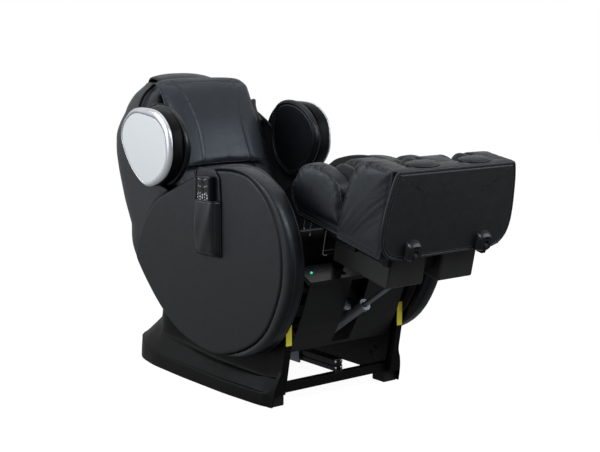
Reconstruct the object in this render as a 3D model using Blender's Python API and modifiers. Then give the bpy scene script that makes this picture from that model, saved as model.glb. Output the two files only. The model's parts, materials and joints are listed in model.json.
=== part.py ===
"""A reclining massage chair, its leg rest raised and its seat tilted back.

Metres, +Z up. The chair faces -Y, its width runs along X, and the sitter's right hand is on the
-X side. The origin is on the floor, under the middle of the chair.
"""

import math

import bmesh
import bpy
from mathutils import Matrix, Vector

# Driving dimensions.
GAP = 0.0003  # clearance between pieces that touch
PANEL_OUT = 0.360  # outer face of the side panels
PANEL_IN = 0.282  # inner face of the side panels
TILT_PIVOT = (0.06, 0.60)  # y, z of the centre that the seat rocks about
RECLINE_PIVOT = (0.25, 0.36)  # y, z of the backrest's hinge
LEG_PIVOT = (-0.36, 0.58)  # y, z of the leg rest's hinge
LEG_PITCH = math.radians(12)  # how far the raised leg rest slopes down
BACK_FOOT = (0.375, 0.50)  # y, z of the lower end of the back pad's face
BACK_LEAN = math.radians(25)  # lean of the back pad from the vertical
SEAM_RADIUS = 0.402  # rear edge of the side panels, about the backrest's hinge
RAIL_RADIUS = 0.3647  # underside of the seat's arc rails, about the tilt centre
ROLLER_RADIUS = 0.020
ROLLER_ANGLE = math.radians(25)  # the base rollers lie this far either side of straight down
PLATE_IN = 0.2435  # inner face of the base's side plates
PLATE_OUT = 0.2497
FRAME_HALF = 0.2248  # half width of the seat frame
SKIRT_HALF = 0.340
SKIRT_REAR = 0.845
TRACK_X = 0.05
SLIDER_PIN = (0.075, 0.163)
LINK_LUG = (0.25, 0.205)
ACTUATOR_FOOT = (-0.07, 0.17)
ACTUATOR_HEAD = (-0.60, 0.527)
PILLOW_HINGE = (0.700, 1.130)
LEG_HALF = 0.250
FOOT_HALF = 0.280
REMOTE_Y = 0.097
SMOOTH_ANGLE = math.radians(35)
MIDDLE_Y = 0.0356  # y of the middle of the length, in the coordinates used above

for old in list(bpy.data.objects):
    bpy.data.objects.remove(old)

chair = bpy.data.collections.new("massage_chair")
cutters = bpy.data.collections.new("cutters")
for group in (chair, cutters):
    bpy.context.scene.collection.children.link(group)


def material(name, colour, roughness, metallic=0.0):
    made = bpy.data.materials.new(name)
    made.use_nodes = True
    shader = made.node_tree.nodes["Principled BSDF"]
    shader.inputs["Base Color"].default_value = (*colour, 1.0)
    shader.inputs["Roughness"].default_value = roughness
    shader.inputs["Metallic"].default_value = metallic
    return made


LEATHER = material("black_leather", (0.028, 0.030, 0.034), 0.42)
SOFT = material("black_mesh_fabric", (0.030, 0.031, 0.034), 0.85)
PLASTIC = material("black_plastic", (0.016, 0.016, 0.017), 0.45)
STEEL = material("black_painted_steel", (0.020, 0.020, 0.022), 0.40, 0.3)
SILVER = material("silver_satin", (0.80, 0.83, 0.87), 0.30, 0.6)
ALLOY = material("cast_alloy", (0.55, 0.57, 0.60), 0.38, 0.9)
TRACK = material("anodised_black", (0.03, 0.03, 0.035), 0.35, 0.8)
RUBBER = material("rubber", (0.02, 0.02, 0.02), 0.75)
LAMP = material("green_lens", (0.05, 0.75, 0.40), 0.20)


# Frames and empties.

def empty(name, y, z, x=0.0, pitch=0.0, parent=None):
    """An empty on a joint's axis, which the moving pieces are parented to."""
    made = bpy.data.objects.new(name, None)
    made.empty_display_size = 0.05
    chair.objects.link(made)
    made.matrix_world = Matrix.Translation((x, y, z)) @ Matrix.Rotation(pitch, 4, "X")
    bpy.context.view_layer.update()
    if parent:
        attach(made, parent)
    return made


def attach(piece, parent):
    piece.parent = parent
    piece.matrix_parent_inverse = parent.matrix_world.inverted()


WORLD = Matrix()
LEG = Matrix.Translation((0, *LEG_PIVOT)) @ Matrix.Rotation(LEG_PITCH, 4, "X")
# In the back frame, +Z runs up the pad and +Y goes through it, from its face to its rear.
BACK = Matrix.Translation((0, *BACK_FOOT)) @ Matrix.Rotation(-BACK_LEAN, 4, "X")


# Makers of shapes.

def link(name, data, matrix, finish, parent=None):
    made = bpy.data.objects.new(name, data)
    chair.objects.link(made)
    made.matrix_world = matrix
    if finish:
        data.materials.append(finish)
    bpy.context.view_layer.update()
    if parent:
        attach(made, parent)
    return made


def bevelled(piece, width, segments=2):
    if width:
        bevel = piece.modifiers.new("Bevel", "BEVEL")
        bevel.width = width
        bevel.segments = segments
        bevel.limit_method = "ANGLE"
        bevel.angle_limit = math.radians(40)
    return piece


def block(name, low, high, finish=None, parent=None, frame=WORLD, bevel=0.0, segments=2):
    """A box between two corners, given in a frame."""
    low, high = Vector(low), Vector(high)
    mesh = bpy.data.meshes.new(name)
    form = bmesh.new()
    size = Matrix.Diagonal((*(high - low), 1.0))
    bmesh.ops.create_cube(form, size=1.0, matrix=size)
    form.to_mesh(mesh)
    form.free()
    made = link(name, mesh, frame @ Matrix.Translation((low + high) / 2), finish, parent)
    return bevelled(made, bevel, segments)


def rod(name, start, end, radius, finish=None, parent=None, frame=WORLD, sides=20, tip=None):
    """A round bar from one point to another, or a cone where its tip has another radius."""
    start, end = Vector(start), Vector(end)
    run = end - start
    mesh = bpy.data.meshes.new(name)
    form = bmesh.new()
    bmesh.ops.create_cone(
        form, cap_ends=True, segments=sides, radius1=radius,
        radius2=radius if tip is None else tip, depth=run.length,
    )
    form.to_mesh(mesh)
    form.free()
    mesh.shade_smooth()
    mesh.set_sharp_from_angle(angle=SMOOTH_ANGLE)
    turn = run.to_track_quat("Z", "Y").to_matrix().to_4x4()
    return link(name, mesh, frame @ Matrix.Translation((start + end) / 2) @ turn, finish, parent)


def meshed(curve_piece):
    """The curve object made a mesh object, with its caps welded."""
    graph = bpy.context.evaluated_depsgraph_get()
    mesh = bpy.data.meshes.new_from_object(curve_piece.evaluated_get(graph))
    form = bmesh.new()
    form.from_mesh(mesh)
    bmesh.ops.remove_doubles(form, verts=form.verts, dist=0.00001)
    bmesh.ops.recalc_face_normals(form, faces=form.faces)
    form.to_mesh(mesh)
    form.free()
    name, matrix = curve_piece.name, curve_piece.matrix_world.copy()
    bpy.data.objects.remove(curve_piece)
    mesh.name = name
    made = bpy.data.objects.new(name, mesh)
    chair.objects.link(made)
    made.matrix_world = matrix
    bpy.context.view_layer.update()
    return made


def plate(name, outline, x_low, x_high, finish=None, parent=None, frame=WORLD, bevel=0.0):
    """A flat outline of (y, z) points, given thickness along X."""
    curve = bpy.data.curves.new(name, "CURVE")
    curve.dimensions = "2D"
    curve.fill_mode = "BOTH"
    curve.extrude = (x_high - x_low) / 2
    spline = curve.splines.new("POLY")
    spline.points.add(len(outline) - 1)
    for point, (y, z) in zip(spline.points, outline):
        point.co = (y, z, 0.0, 1.0)
    spline.use_cyclic_u = True
    if finish:
        curve.materials.append(finish)
    upright = Matrix(((0, 0, 1, 0), (1, 0, 0, 0), (0, 1, 0, 0), (0, 0, 0, 1)))
    middle = Matrix.Translation(((x_low + x_high) / 2, 0, 0))
    made = bpy.data.objects.new(name, curve)
    chair.objects.link(made)
    made.matrix_world = frame @ middle @ upright
    bpy.context.view_layer.update()
    made = meshed(made)
    if parent:
        attach(made, parent)
    return bevelled(made, bevel)


def loft(name, rings, finish, parent=None, closed_ring=False):
    """A skin through rings of equal numbers of points."""
    mesh = bpy.data.meshes.new(name)
    form = bmesh.new()
    rows = [[form.verts.new(point) for point in ring] for ring in rings]
    count = len(rows[0])
    for near, far in zip(rows, rows[1:]):
        for i in range(count if closed_ring else count - 1):
            j = (i + 1) % count
            form.faces.new((near[i], near[j], far[j], far[i]))
    if closed_ring:
        form.faces.new(reversed(rows[0]))
        form.faces.new(rows[-1])
    bmesh.ops.recalc_face_normals(form, faces=form.faces)
    form.to_mesh(mesh)
    form.free()
    mesh.shade_smooth()
    return link(name, mesh, WORLD, finish, parent)


def combine(target, tools, operation="UNION"):
    """Joins the tools to the target, or cuts them from it."""
    for tool in tools:
        for group in list(tool.users_collection):
            group.objects.unlink(tool)
        cutters.objects.link(tool)
        tool.hide_render = True
        tool.display_type = "WIRE"
        if target.parent and not tool.parent:
            attach(tool, target.parent)
        modifier = target.modifiers.new(tool.name, "BOOLEAN")
        modifier.operation = operation
        modifier.object = tool
    return target


def cut(target, tools):
    return combine(target, tools, "DIFFERENCE")


def mirror(piece, bisect=False):
    modifier = piece.modifiers.new("Mirror", "MIRROR")
    modifier.merge_threshold = 0.0001
    modifier.use_bisect_axis[0] = bisect
    return piece


# Outlines.

def smooth(points, steps=4, closed=False):
    """Points along a Catmull-Rom curve through the given ones."""
    count = len(points)
    found = []
    for i in range(count if closed else count - 1):
        if closed:
            a, b, c, d = (points[(i + k) % count] for k in (-1, 0, 1, 2))
        else:
            a, b, c, d = (points[min(max(i + k, 0), count - 1)] for k in (-1, 0, 1, 2))
        for step in range(steps):
            t = step / steps
            found.append(tuple(
                0.5 * (2 * q + (r - p) * t + (2 * p - 5 * q + 4 * r - s) * t**2
                       + (3 * q - p - 3 * r + s) * t**3)
                for p, q, r, s in zip(a, b, c, d)
            ))
    if not closed:
        found.append(tuple(points[-1]))
    return found


def arc(centre, radius, start, end, steps):
    """(y, z) points on an arc, its angles in degrees from +Y towards +Z."""
    turns = [math.radians(start + (end - start) * i / steps) for i in range(steps + 1)]
    return [(centre[0] + radius * math.cos(t), centre[1] + radius * math.sin(t)) for t in turns]


def between(a, b, t):
    return a + (b - a) * t


def value_at(table, x):
    """A value read from a short list of (x, value) pairs, straight between them."""
    if x <= table[0][0]:
        return table[0][1]
    for (x0, v0), (x1, v1) in zip(table, table[1:]):
        if x <= x1:
            return between(v0, v1, (x - x0) / (x1 - x0))
    return table[-1][1]


# The side panel's outline: a hand-drawn egg whose rear edge is an arc about the backrest's hinge.
FLANK = smooth([
    (0.643, 0.4436), (0.566, 0.362), (0.446, 0.262), (0.300, 0.186), (0.090, 0.152),
    (-0.135, 0.186), (-0.292, 0.276), (-0.390, 0.430), (-0.412, 0.560), (-0.382, 0.688),
    (-0.298, 0.798), (-0.172, 0.858), (-0.020, 0.868), (0.150, 0.830), (0.4135, 0.7272),
])
SEAM = arc(RECLINE_PIVOT, SEAM_RADIUS, 66, 12, 9)
HOOP_START, HOOP_END = 17, 52  # the hoop runs between these two points of the flank
HOOP_WIDTH = 0.068


def hoop_edge(extra=0.0):
    """The hoop's inner edge: in from the flank by a width that swells at the front."""
    found = []
    for i in range(HOOP_START, HOOP_END + 1):
        (y0, z0), (y1, z1) = FLANK[i - 1], FLANK[i + 1]
        run = math.hypot(y1 - y0, z1 - z0)
        # The flank is drawn clockwise, so its inside is on the right of each step.
        inward = ((z1 - z0) / run, -(y1 - y0) / run)
        t = (i - HOOP_START) / (HOOP_END - HOOP_START)
        front = math.sin(math.pi * min(t / 0.78, 1.0)) ** 0.8
        width = extra + 0.004 + (HOOP_WIDTH - 0.028) * front + 0.024 * math.sin(math.pi * t)
        found.append((FLANK[i][0] + inward[0] * width, FLANK[i][1] + inward[1] * width))
    return found


# Joint axes.

tilt_axis = empty("tilt_axis", *TILT_PIVOT)
slider_axis = empty("slider_axis", *SLIDER_PIN, x=TRACK_X)
link_axis = empty("link_axis", *SLIDER_PIN, x=TRACK_X, parent=slider_axis)
recline_axis = empty("recline_axis", *RECLINE_PIVOT, parent=tilt_axis)
pillow_axis = empty("pillow_axis", *PILLOW_HINGE, parent=recline_axis)
leg_axis = empty("leg_axis", *LEG_PIVOT, pitch=LEG_PITCH, parent=tilt_axis)
foot_axis = empty("foot_axis", *LEG_PIVOT, pitch=LEG_PITCH, parent=leg_axis)
actuator_axis = empty("actuator_axis", *ACTUATOR_FOOT, parent=tilt_axis)
plunger_axis = empty("plunger_axis", *ACTUATOR_FOOT, parent=actuator_axis)


# Base.

FOOT_LENGTH = 0.070
FOOT_TOP = 0.045
RAIL_LOW, RAIL_HIGH = 0.0453, 0.080
FRONT_Y, REAR_Y = -0.205, 0.610


def feet():
    for side, hand in ((-1, "right"), (1, "left")):
        for y, end in ((FRONT_Y, "front"), (REAR_Y - FOOT_LENGTH, "rear")):
            xs = sorted((side * 0.243, side * 0.309))
            block(f"foot_{end}_{hand}", (xs[0], y, 0), (xs[1], y + FOOT_LENGTH, FOOT_TOP),
                  RUBBER, bevel=0.004)


WHEEL_X, WHEEL_Y, WHEEL_Z, WHEEL_R = 0.20, 0.655, 0.040, 0.036


def base_frame():
    frame = block("base_frame", (-0.262, FRONT_Y, 0.046), (0.262, FRONT_Y + 0.03, 0.080), STEEL)
    parts = [
        block("cross_middle", (-0.265, 0.28, RAIL_LOW), (0.265, 0.31, 0.072)),
        block("cross_rear", (-0.265, 0.575, RAIL_LOW), (0.265, 0.605, 0.070)),
    ]
    for side in (-1, 1):
        xs = sorted((side * 0.2435, side * 0.286))
        parts.append(block(f"rail_{side}", (xs[0], FRONT_Y + 0.002, RAIL_LOW), (xs[1], 0.606, RAIL_HIGH)))
        post = sorted((side * 0.2520, side * 0.2700))
        parts.append(plate(f"post_{side}", [(-0.170, 0.060), (-0.215, 0.060), (-0.236, 0.200),
                                            (-0.236, 0.375), (-0.206, 0.375), (-0.190, 0.200)], *post))
        parts.append(rod(f"wheel_axle_{side}", (side * 0.168, WHEEL_Y, WHEEL_Z),
                         (side * 0.232, WHEEL_Y, WHEEL_Z), 0.006))
        for ear in (0.168, 0.226):
            ears = sorted((side * ear, side * (ear + 0.006)))
            parts.append(block(f"wheel_ear_{side}_{ear}", (ears[0], 0.600, 0.030),
                               (ears[1], WHEEL_Y + 0.010, 0.062)))
    return combine(frame, parts)


def side_plates():
    """Steel plates that stand on the rails and carry the rollers the seat rocks on."""
    foot = RAIL_HIGH + GAP
    outline = [(-0.202, foot), (-0.215, 0.100), (-0.240, 0.230), (-0.240, 0.385), (-0.215, 0.400),
               (-0.170, 0.395), (-0.060, 0.315), (0.290, 0.300), (0.370, 0.200), (0.395, foot)]
    for side, hand in ((-1, "right"), (1, "left")):
        xs = sorted((side * PLATE_IN, side * PLATE_OUT))
        made = plate(f"side_plate_{hand}", outline, *xs, STEEL)
        pins, bolts = [], []
        for turn, end in ((-ROLLER_ANGLE, "front"), (ROLLER_ANGLE, "rear")):
            y, z = roller_centre(turn)
            pins.append(rod(f"roller_pin_{end}_{hand}", (side * 0.2075, y, z),
                            (side * (PLATE_IN + 0.002), y, z), 0.006, sides=16))
        for y, z in ((-0.150, 0.130), (-0.120, 0.105)):
            bolts.append(rod(f"bolt_{y}_{hand}", (side * (PLATE_IN - 0.004), y, z),
                             (side * (PLATE_IN + 0.002), y, z), 0.007, sides=6))
        combine(made, pins + bolts)


def roller_centre(turn):
    reach = RAIL_RADIUS + GAP + ROLLER_RADIUS
    return TILT_PIVOT[0] + reach * math.sin(turn), TILT_PIVOT[1] - reach * math.cos(turn)


def wheel(name, centre, half, radius, bore, finish, parent=None, frame=WORLD, sides=24):
    """A wheel turning about X, with a rounded rim and a bore: a profile turned by a Screw."""
    mesh = bpy.data.meshes.new(name)
    form = bmesh.new()
    soft = min(half, radius - bore) * 0.35
    profile = [(bore, half), (radius - soft, half), (radius, half - soft),
               (radius, soft - half), (radius - soft, -half), (bore, -half)]
    points = [form.verts.new((r, 0, h)) for r, h in profile]
    for near, far in zip(points, points[1:] + points[:1]):
        form.edges.new((near, far))
    form.to_mesh(mesh)
    form.free()
    turn = Matrix.Rotation(math.pi / 2, 4, "Y")
    made = link(name, mesh, frame @ Matrix.Translation(centre) @ turn, finish, parent)
    screw = made.modifiers.new("Screw", "SCREW")
    screw.steps = screw.render_steps = sides
    screw.merge_threshold = 0.0001
    screw.use_merge_vertices = True
    screw.use_normal_calculate = True
    return made


def rollers_and_wheels():
    for side, hand in ((-1, "right"), (1, "left")):
        for turn, end in ((-ROLLER_ANGLE, "front"), (ROLLER_ANGLE, "rear")):
            centre = (side * 0.2175, *roller_centre(turn))
            axis = empty(f"roller_axis_{end}_{hand}", centre[1], centre[2], x=centre[0])
            wheel(f"arc_roller_{end}_{hand}", centre, 0.010, ROLLER_RADIUS, 0.0063, RUBBER, axis, sides=20)
        centre = (side * WHEEL_X, WHEEL_Y, WHEEL_Z)
        axis = empty(f"wheel_axis_{hand}", WHEEL_Y, WHEEL_Z, x=side * WHEEL_X)
        wheel(f"transport_wheel_{hand}", centre, 0.014, WHEEL_R, 0.0063, RUBBER, axis)


def skirt_section(t):
    """One section of the right half's skin, t from 0 at the front post to 1 at the rear middle."""
    # The foot of the wall, seen from above: along the side, round the corner and across the back.
    route = [(0.0, (0.309, -0.205)), (0.06, (0.322, -0.150)), (0.25, (0.337, 0.050)), (0.45, (0.340, 0.330)),
             (0.60, (0.334, 0.560)), (0.72, (0.310, 0.690)), (0.82, (0.255, 0.785)), (0.91, (0.150, 0.832)),
             (1.0, (0.0, SKIRT_REAR))]
    x = value_at([(k, p[0]) for k, p in route], t)
    y = value_at([(k, p[1]) for k, p in route], t)
    ahead, behind = min(t + 0.03, 1.0), max(t - 0.03, 0.0)
    run = (value_at([(k, p[0]) for k, p in route], ahead) - value_at([(k, p[0]) for k, p in route], behind),
           value_at([(k, p[1]) for k, p in route], ahead) - value_at([(k, p[1]) for k, p in route], behind))
    length = math.hypot(*run)
    inward = (-run[1] / length, run[0] / length)
    if t >= 1.0:
        inward = (0.0, -1.0)
    wall = value_at([(0, 0.050), (0.3, 0.050), (0.6, 0.060), (0.8, 0.082), (1, 0.090)], t)
    top = value_at([(0, 0.33), (0.03, 0.33), (0.16, 0.20), (0.35, 0.185), (0.55, 0.215), (0.75, 0.245), (1, 0.25)], t)
    inner_x = 0.2762
    deep = value_at([(0, 0.033), (0.06, 0.046), (0.25, 0.061), (0.60, 0.058), (0.75, 0.12), (0.88, 0.18), (1, 0.20)], t)
    rise = value_at([(0, 0.0), (0.6, 0.0), (0.8, 0.6), (1.0, 1.0)], t)
    foot = value_at([(0, 0.047), (0.055, 0.047), (0.11, 0.003)], t)
    low = value_at([(0, 0.118), (0.06, 0.100), (0.16, 0.092), (0.35, 0.092), (0.5, 0.110), (0.8, 0.140), (1, 0.145)], t)
    mid = between(low + 0.020, low + 0.055, rise)
    spots = [(0.0, foot), (0.002, foot + 0.5 * (wall - foot)), (0.006, wall), (0.014, wall + 0.006),
             (between(0.70, 0.42, rise) * deep, low), (between(0.92, 0.70, rise) * deep, mid), (deep, top)]
    found = [(x + inward[0] * d, y + inward[1] * d, z) for d, z in spots]
    if t <= 0.60:
        found[-2] = (inner_x + 0.0035, *found[-2][1:])
        found[-1] = (inner_x, *found[-1][1:])
    return found


def skirt_front():
    """The front end of the skirt: its wall turns up into a narrow post that leans forward."""
    found = []
    for x, z in ((0.309, 0.047), (0.308, 0.065), (0.305, 0.083), (0.300, 0.100),
                 (0.292, 0.122), (0.2800, 0.142), (0.2762, 0.330)):
        found.append((x, FRONT_Y - 0.012 - 0.20 * min(z, 0.23), z))
    return found


def base_skirt():
    stations = [0.02, 0.05, 0.10, 0.17, 0.25, 0.35, 0.45, 0.53, 0.60, 0.66, 0.72, 0.77, 0.82, 0.87,
                0.91, 0.955, 1.0]
    rings = [skirt_front()] + [skirt_section(t) for t in stations]
    made = loft("base_skirt", rings, PLASTIC)
    # The skin is the left half, and the Mirror makes the right one.
    mirror(made)
    solid = made.modifiers.new("Solidify", "SOLIDIFY")
    solid.thickness = 0.004
    solid.offset = -1.0
    solid.use_even_offset = True
    window = block("inlet_window", (0.06, 0.70, 0.018), (0.14, 0.90, 0.062))
    return cut(made, [window])


def power_inlet():
    panel = block("inlet_panel", (0.0603, 0.800, 0.0183), (0.1397, 0.8435, 0.0617), PLASTIC, bevel=0.001)
    socket = block("socket_recess", (0.066, 0.822, 0.026), (0.094, 0.860, 0.048))
    hole = block("switch_recess", (0.104, 0.828, 0.0275), (0.132, 0.860, 0.0465))
    cut(panel, [socket, hole])
    axis = empty("switch_axis", 0.8375, 0.037, x=0.118)
    rocker = plate("power_switch", [(0.8335, 0.0290), (0.8465, 0.0305), (0.8415, 0.037), (0.8455, 0.0450),
                                    (0.8335, 0.0450)], 0.1045, 0.1315, RUBBER, axis)
    return panel, rocker


def tilt_drive():
    """A motor turns the screw in the track, and the slider on the track pushes the seat's lug."""
    x = TRACK_X
    track = block("tilt_track", (x - 0.022, -0.160, 0.0723), (x + 0.022, 0.500, 0.118), TRACK, bevel=0.002, segments=1)
    grooves = []
    for side in (-1, 1):
        xs = sorted((x + side * 0.018, x + side * 0.030))
        grooves.append(block(f"groove_{side}", (xs[0], -0.2, 0.091), (xs[1], 0.6, 0.099)))
    cut(track, grooves)
    motor = block("tilt_motor", (x - 0.028, 0.5003, 0.066), (x + 0.032, 0.556, 0.124), ALLOY, bevel=0.004)
    combine(motor, [rod("motor_can", (x + 0.020, 0.530, 0.095), (x + 0.150, 0.530, 0.095), 0.0255)])
    slider = block("tilt_slider", (x - 0.031, 0.045, 0.064), (x + 0.031, 0.105, 0.146), ALLOY, slider_axis)
    channel = block("track_channel", (x - 0.0227, 0.0, 0.050), (x + 0.0227, 0.2, 0.1187))
    attach(channel, slider_axis)
    cut(slider, [channel])
    ears = [plate(f"slider_ear_{k}", [(0.060, 0.140), (0.090, 0.140), *arc(SLIDER_PIN, 0.014, 0, 180, 8)],
                  x + k, x + k + 0.006) for k in (-0.022, 0.016)]
    pin = rod("slider_pin", (x - 0.020, *SLIDER_PIN), (x + 0.020, *SLIDER_PIN), 0.006, sides=16)
    combine(slider, [*ears, pin])
    bar = link_bar(x)
    return track, motor, slider, bar


def link_bar(x):
    y0, z0 = SLIDER_PIN
    y1, z1 = LINK_LUG
    turn = math.degrees(math.atan2(z1 - z0, y1 - y0))
    outline = arc(SLIDER_PIN, 0.013, turn + 90, turn + 270, 10) + arc(LINK_LUG, 0.013, turn - 90, turn + 90, 10)
    bar = plate("tilt_link", outline, x - 0.0155, x + 0.0155, STEEL, link_axis)
    hole = rod("link_hole", (x - 0.05, y0, z0), (x + 0.05, y0, z0), 0.0063, sides=16)
    cut(bar, [hole])
    return combine(bar, [rod("lug_pin", (x - 0.0197, y1, z1), (x + 0.0197, y1, z1), 0.0055, sides=16)])


# Seat body.

def seat_frame():
    """The welded frame: side beams, arc rails below them, the leg rest's risers and its shaft."""
    frame = block("seat_frame", (-FRAME_HALF, -0.285, 0.385), (FRAME_HALF, -0.255, 0.420), STEEL, tilt_axis)
    parts = [
        block("cross_back", (-FRAME_HALF, 0.290, 0.385), (FRAME_HALF, 0.320, 0.420)),
        block("cross_low", (-0.212, -0.048, 0.244), (0.212, -0.022, 0.270)),
        block("cross_lug", (-0.212, 0.262, 0.312), (0.212, 0.288, 0.336)),
        rod("leg_shaft", (-0.195, *LEG_PIVOT), (0.195, *LEG_PIVOT), 0.009, sides=20),
    ]
    for side in (-1, 1):
        beam = sorted((side * 0.197, side * FRAME_HALF))
        parts.append(block(f"beam_{side}", (beam[0], -0.284, 0.386), (beam[1], 0.335, 0.419)))
        rail = sorted((side * 0.2100, side * (FRAME_HALF - 0.0003)))
        sector = arc(TILT_PIVOT, 0.342, 216, 324, 24) + arc(TILT_PIVOT, RAIL_RADIUS, 324, 216, 24)
        parts.append(plate(f"arc_rail_{side}", sector, *rail))
        riser = sorted((side * 0.062, side * 0.074))
        parts.append(plate(f"riser_{side}", [(-0.286, 0.390), (-0.258, 0.390), (-0.262, 0.500), (-0.340, 0.596),
                                             (-0.366, 0.600), (-0.381, 0.580), (-0.366, 0.560), (-0.330, 0.520),
                                             (-0.292, 0.450)], *riser))
        bracket = sorted((side * 0.2110, side * (FRAME_HALF - 0.0006)))
        parts.append(plate(f"hinge_bracket_{side}", [(0.215, 0.400), *arc(RECLINE_PIVOT, 0.018, 200, 340, 8),
                                                     (0.285, 0.400)], *bracket))
        pin = sorted((side * 0.215, side * 0.2425))
        parts.append(rod(f"recline_pin_{side}", (pin[0], *RECLINE_PIVOT), (pin[1], *RECLINE_PIVOT), 0.008, sides=16))
        hanger = sorted((side * 0.0190, side * 0.0250))
        parts.append(plate(f"hanger_{side}", [(-0.046, 0.262), (-0.092, 0.175), *arc(ACTUATOR_FOOT, 0.015, 200, 330, 6),
                                              (-0.024, 0.250)], *hanger))
        lug = sorted((TRACK_X + side * 0.0203, TRACK_X + side * 0.0263))
        parts.append(plate(f"lug_{side}", [(0.268, 0.330), (0.256, 0.262), (0.234, 0.208),
                                           *arc(LINK_LUG, 0.015, 200, 330, 6), (0.278, 0.255), (0.286, 0.330)], *lug))
    parts.append(rod("actuator_pin", (-0.020, *ACTUATOR_FOOT), (0.020, *ACTUATOR_FOOT), 0.006, sides=16))
    return combine(frame, parts)


def seat_cushion():
    outline = smooth([(-0.236, 0.600), (-0.205, 0.632), (0.040, 0.578), (0.270, 0.536), (0.312, 0.520)], 3)
    outline += [(0.312, 0.4303), (-0.060, 0.4303), (-0.236, 0.500)]
    return plate("seat_cushion", outline, -0.270, 0.270, LEATHER, tilt_axis, bevel=0.012)


def side_panels():
    rim = FLANK[:HOOP_START] + hoop_edge(GAP) + FLANK[HOOP_END + 1:]
    crescent = FLANK[HOOP_START:HOOP_END + 1] + hoop_edge()[::-1]
    for side, hand in ((-1, "right"), (1, "left")):
        xs = sorted((side * PANEL_IN, side * PANEL_OUT))
        plate(f"side_panel_{hand}", rim + SEAM[1:-1], *xs, LEATHER, tilt_axis)
        plate(f"arm_hoop_{hand}", crescent, *xs, LEATHER, tilt_axis)


def front_panels():
    """A lipped deck under the leg rest, and the kick panel below it with the actuator's slot."""
    half = 0.236
    deck = plate("front_deck", [(-0.353, 0.466), (-0.353, 0.479), (-0.250, 0.5245), (-0.250, 0.5195),
                                (-0.3475, 0.4765), (-0.3475, 0.466)], -half, half, STEEL, tilt_axis)
    slots = [block(f"riser_slot_{side}", (min(side * 0.058, side * 0.078), -0.338, 0.44),
                   (max(side * 0.058, side * 0.078), -0.24, 0.56)) for side in (-1, 1)]
    cut(deck, slots)
    face = smooth([(-0.3470, 0.4655), (-0.330, 0.420), (-0.278, 0.300), (-0.222, 0.200)], 3)
    back = [(y + 0.0055, z + 0.001) for y, z in reversed(face)]
    kick = plate("kick_panel", face + back, -half, half, PLASTIC, tilt_axis)
    slot = plate("actuator_slot", [(-0.240, 0.212), (-0.310, 0.262), (-0.420, 0.480), (-0.250, 0.480),
                                   (-0.180, 0.212)], -0.042, 0.042)
    cut(kick, [slot])
    rod("indicator_lamp", (-0.200, -0.3090, 0.5012), (-0.200, -0.3110, 0.5056), 0.0045, LAMP, tilt_axis, sides=16)


POUCH_LOW, POUCH_MOUTH = 0.530, 0.735
POUCH_Y = (0.020, 0.175)
POUCH_X = (-0.396, -(PANEL_OUT + GAP))


def remote_pouch():
    pouch = block("remote_pouch", (POUCH_X[0], POUCH_Y[0], POUCH_LOW), (POUCH_X[1], POUCH_Y[1], POUCH_MOUTH),
                  LEATHER, tilt_axis, bevel=0.006)
    sheet = block("pouch_back", (POUCH_X[1] - 0.003, POUCH_Y[0], 0.60), (POUCH_X[1], POUCH_Y[1], 0.815))
    combine(pouch, [sheet])
    cavity = block("pouch_cavity", (POUCH_X[0] + 0.004, POUCH_Y[0] + 0.007, POUCH_LOW + 0.008),
                   (POUCH_X[1] - 0.0035, POUCH_Y[1] - 0.007, 0.90))
    return cut(pouch, [cavity])


def remote_control():
    """A handset that lifts out of the pouch, with two keys that press in towards it."""
    axis = empty("remote_axis", REMOTE_Y, 0.71, x=-0.378, parent=tilt_axis)
    body = block("remote_body", (-0.389, REMOTE_Y - 0.042, 0.600), (-0.3675, REMOTE_Y + 0.042, 0.825),
                 PLASTIC, axis, bevel=0.005)
    wells = []
    for z, name in ((0.800, "power_key"), (0.775, "pause_key")):
        wells.append(rod(f"{name}_well", (-0.400, REMOTE_Y, z), (-0.3855, REMOTE_Y, z), 0.0075, sides=20))
        rod(name, (-0.3905, REMOTE_Y, z), (-0.3873, REMOTE_Y, z), 0.0070, RUBBER, axis, sides=20)
    return cut(body, wells)


# Backrest.

REAR_LINE = [(0.43, 0.713), (0.54, 0.773), (0.66, 0.836), (0.78, 0.880), (0.86, 0.900), (0.95, 0.908),
             (1.03, 0.903), (1.09, 0.888), (1.135, 0.862)]
SHELL_HALF = [(0.43, 0.345), (0.85, 0.345), (0.93, 0.339), (0.98, 0.318), (1.03, 0.288), (1.07, 0.255), (1.10, 0.225),
              (1.125, 0.190), (1.135, 0.170)]
EDGE_LINE = [(0.735, 0.425), (0.76, 0.470), (0.84, 0.555), (0.90, 0.600), (0.96, 0.650), (1.00, 0.698), (1.03, 0.735),
             (1.07, 0.757), (1.10, 0.765), (1.135, 0.765)]
SHELL_THICK = 0.006


def shell_edge(z):
    """y of the shell's front edge: outside the seam's arc, then back behind the shoulder wing."""
    rise = z - RECLINE_PIVOT[1]
    reach = SEAM_RADIUS + 0.008
    if rise < reach * 0.90:
        return RECLINE_PIVOT[0] + math.sqrt(reach**2 - rise**2)
    return value_at(EDGE_LINE, z)


def back_shell():
    rings = []
    heights = [0.43, 0.49, 0.55, 0.61, 0.66, 0.705, 0.76, 0.83, 0.90, 0.97, 1.03, 1.07, 1.10, 1.125, 1.135]
    for z in heights:
        half, rear, edge = value_at(SHELL_HALF, z), value_at(REAR_LINE, z), shell_edge(z)
        corner = min(0.15, half * 0.7, (rear - edge) * 0.8)
        ring = [(half, edge, z), (half, between(edge, rear - corner, 0.45), z)]
        for turn in (0, 22, 45, 68, 90):
            a = math.radians(turn)
            out, back = half - corner + corner * math.cos(a), rear - corner * 0.9 + corner * 0.9 * math.sin(a)
            ring.append((out, back - 0.12 * corner * math.cos(a), z))
        ring.append((0.0, rear + 0.004, z))
        rings.append(ring)
    made = loft("back_shell", rings, LEATHER, recline_axis)
    mirror(made)
    solid = made.modifiers.new("Solidify", "SOLIDIFY")
    solid.thickness = SHELL_THICK
    solid.offset = -1.0
    return made


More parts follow.
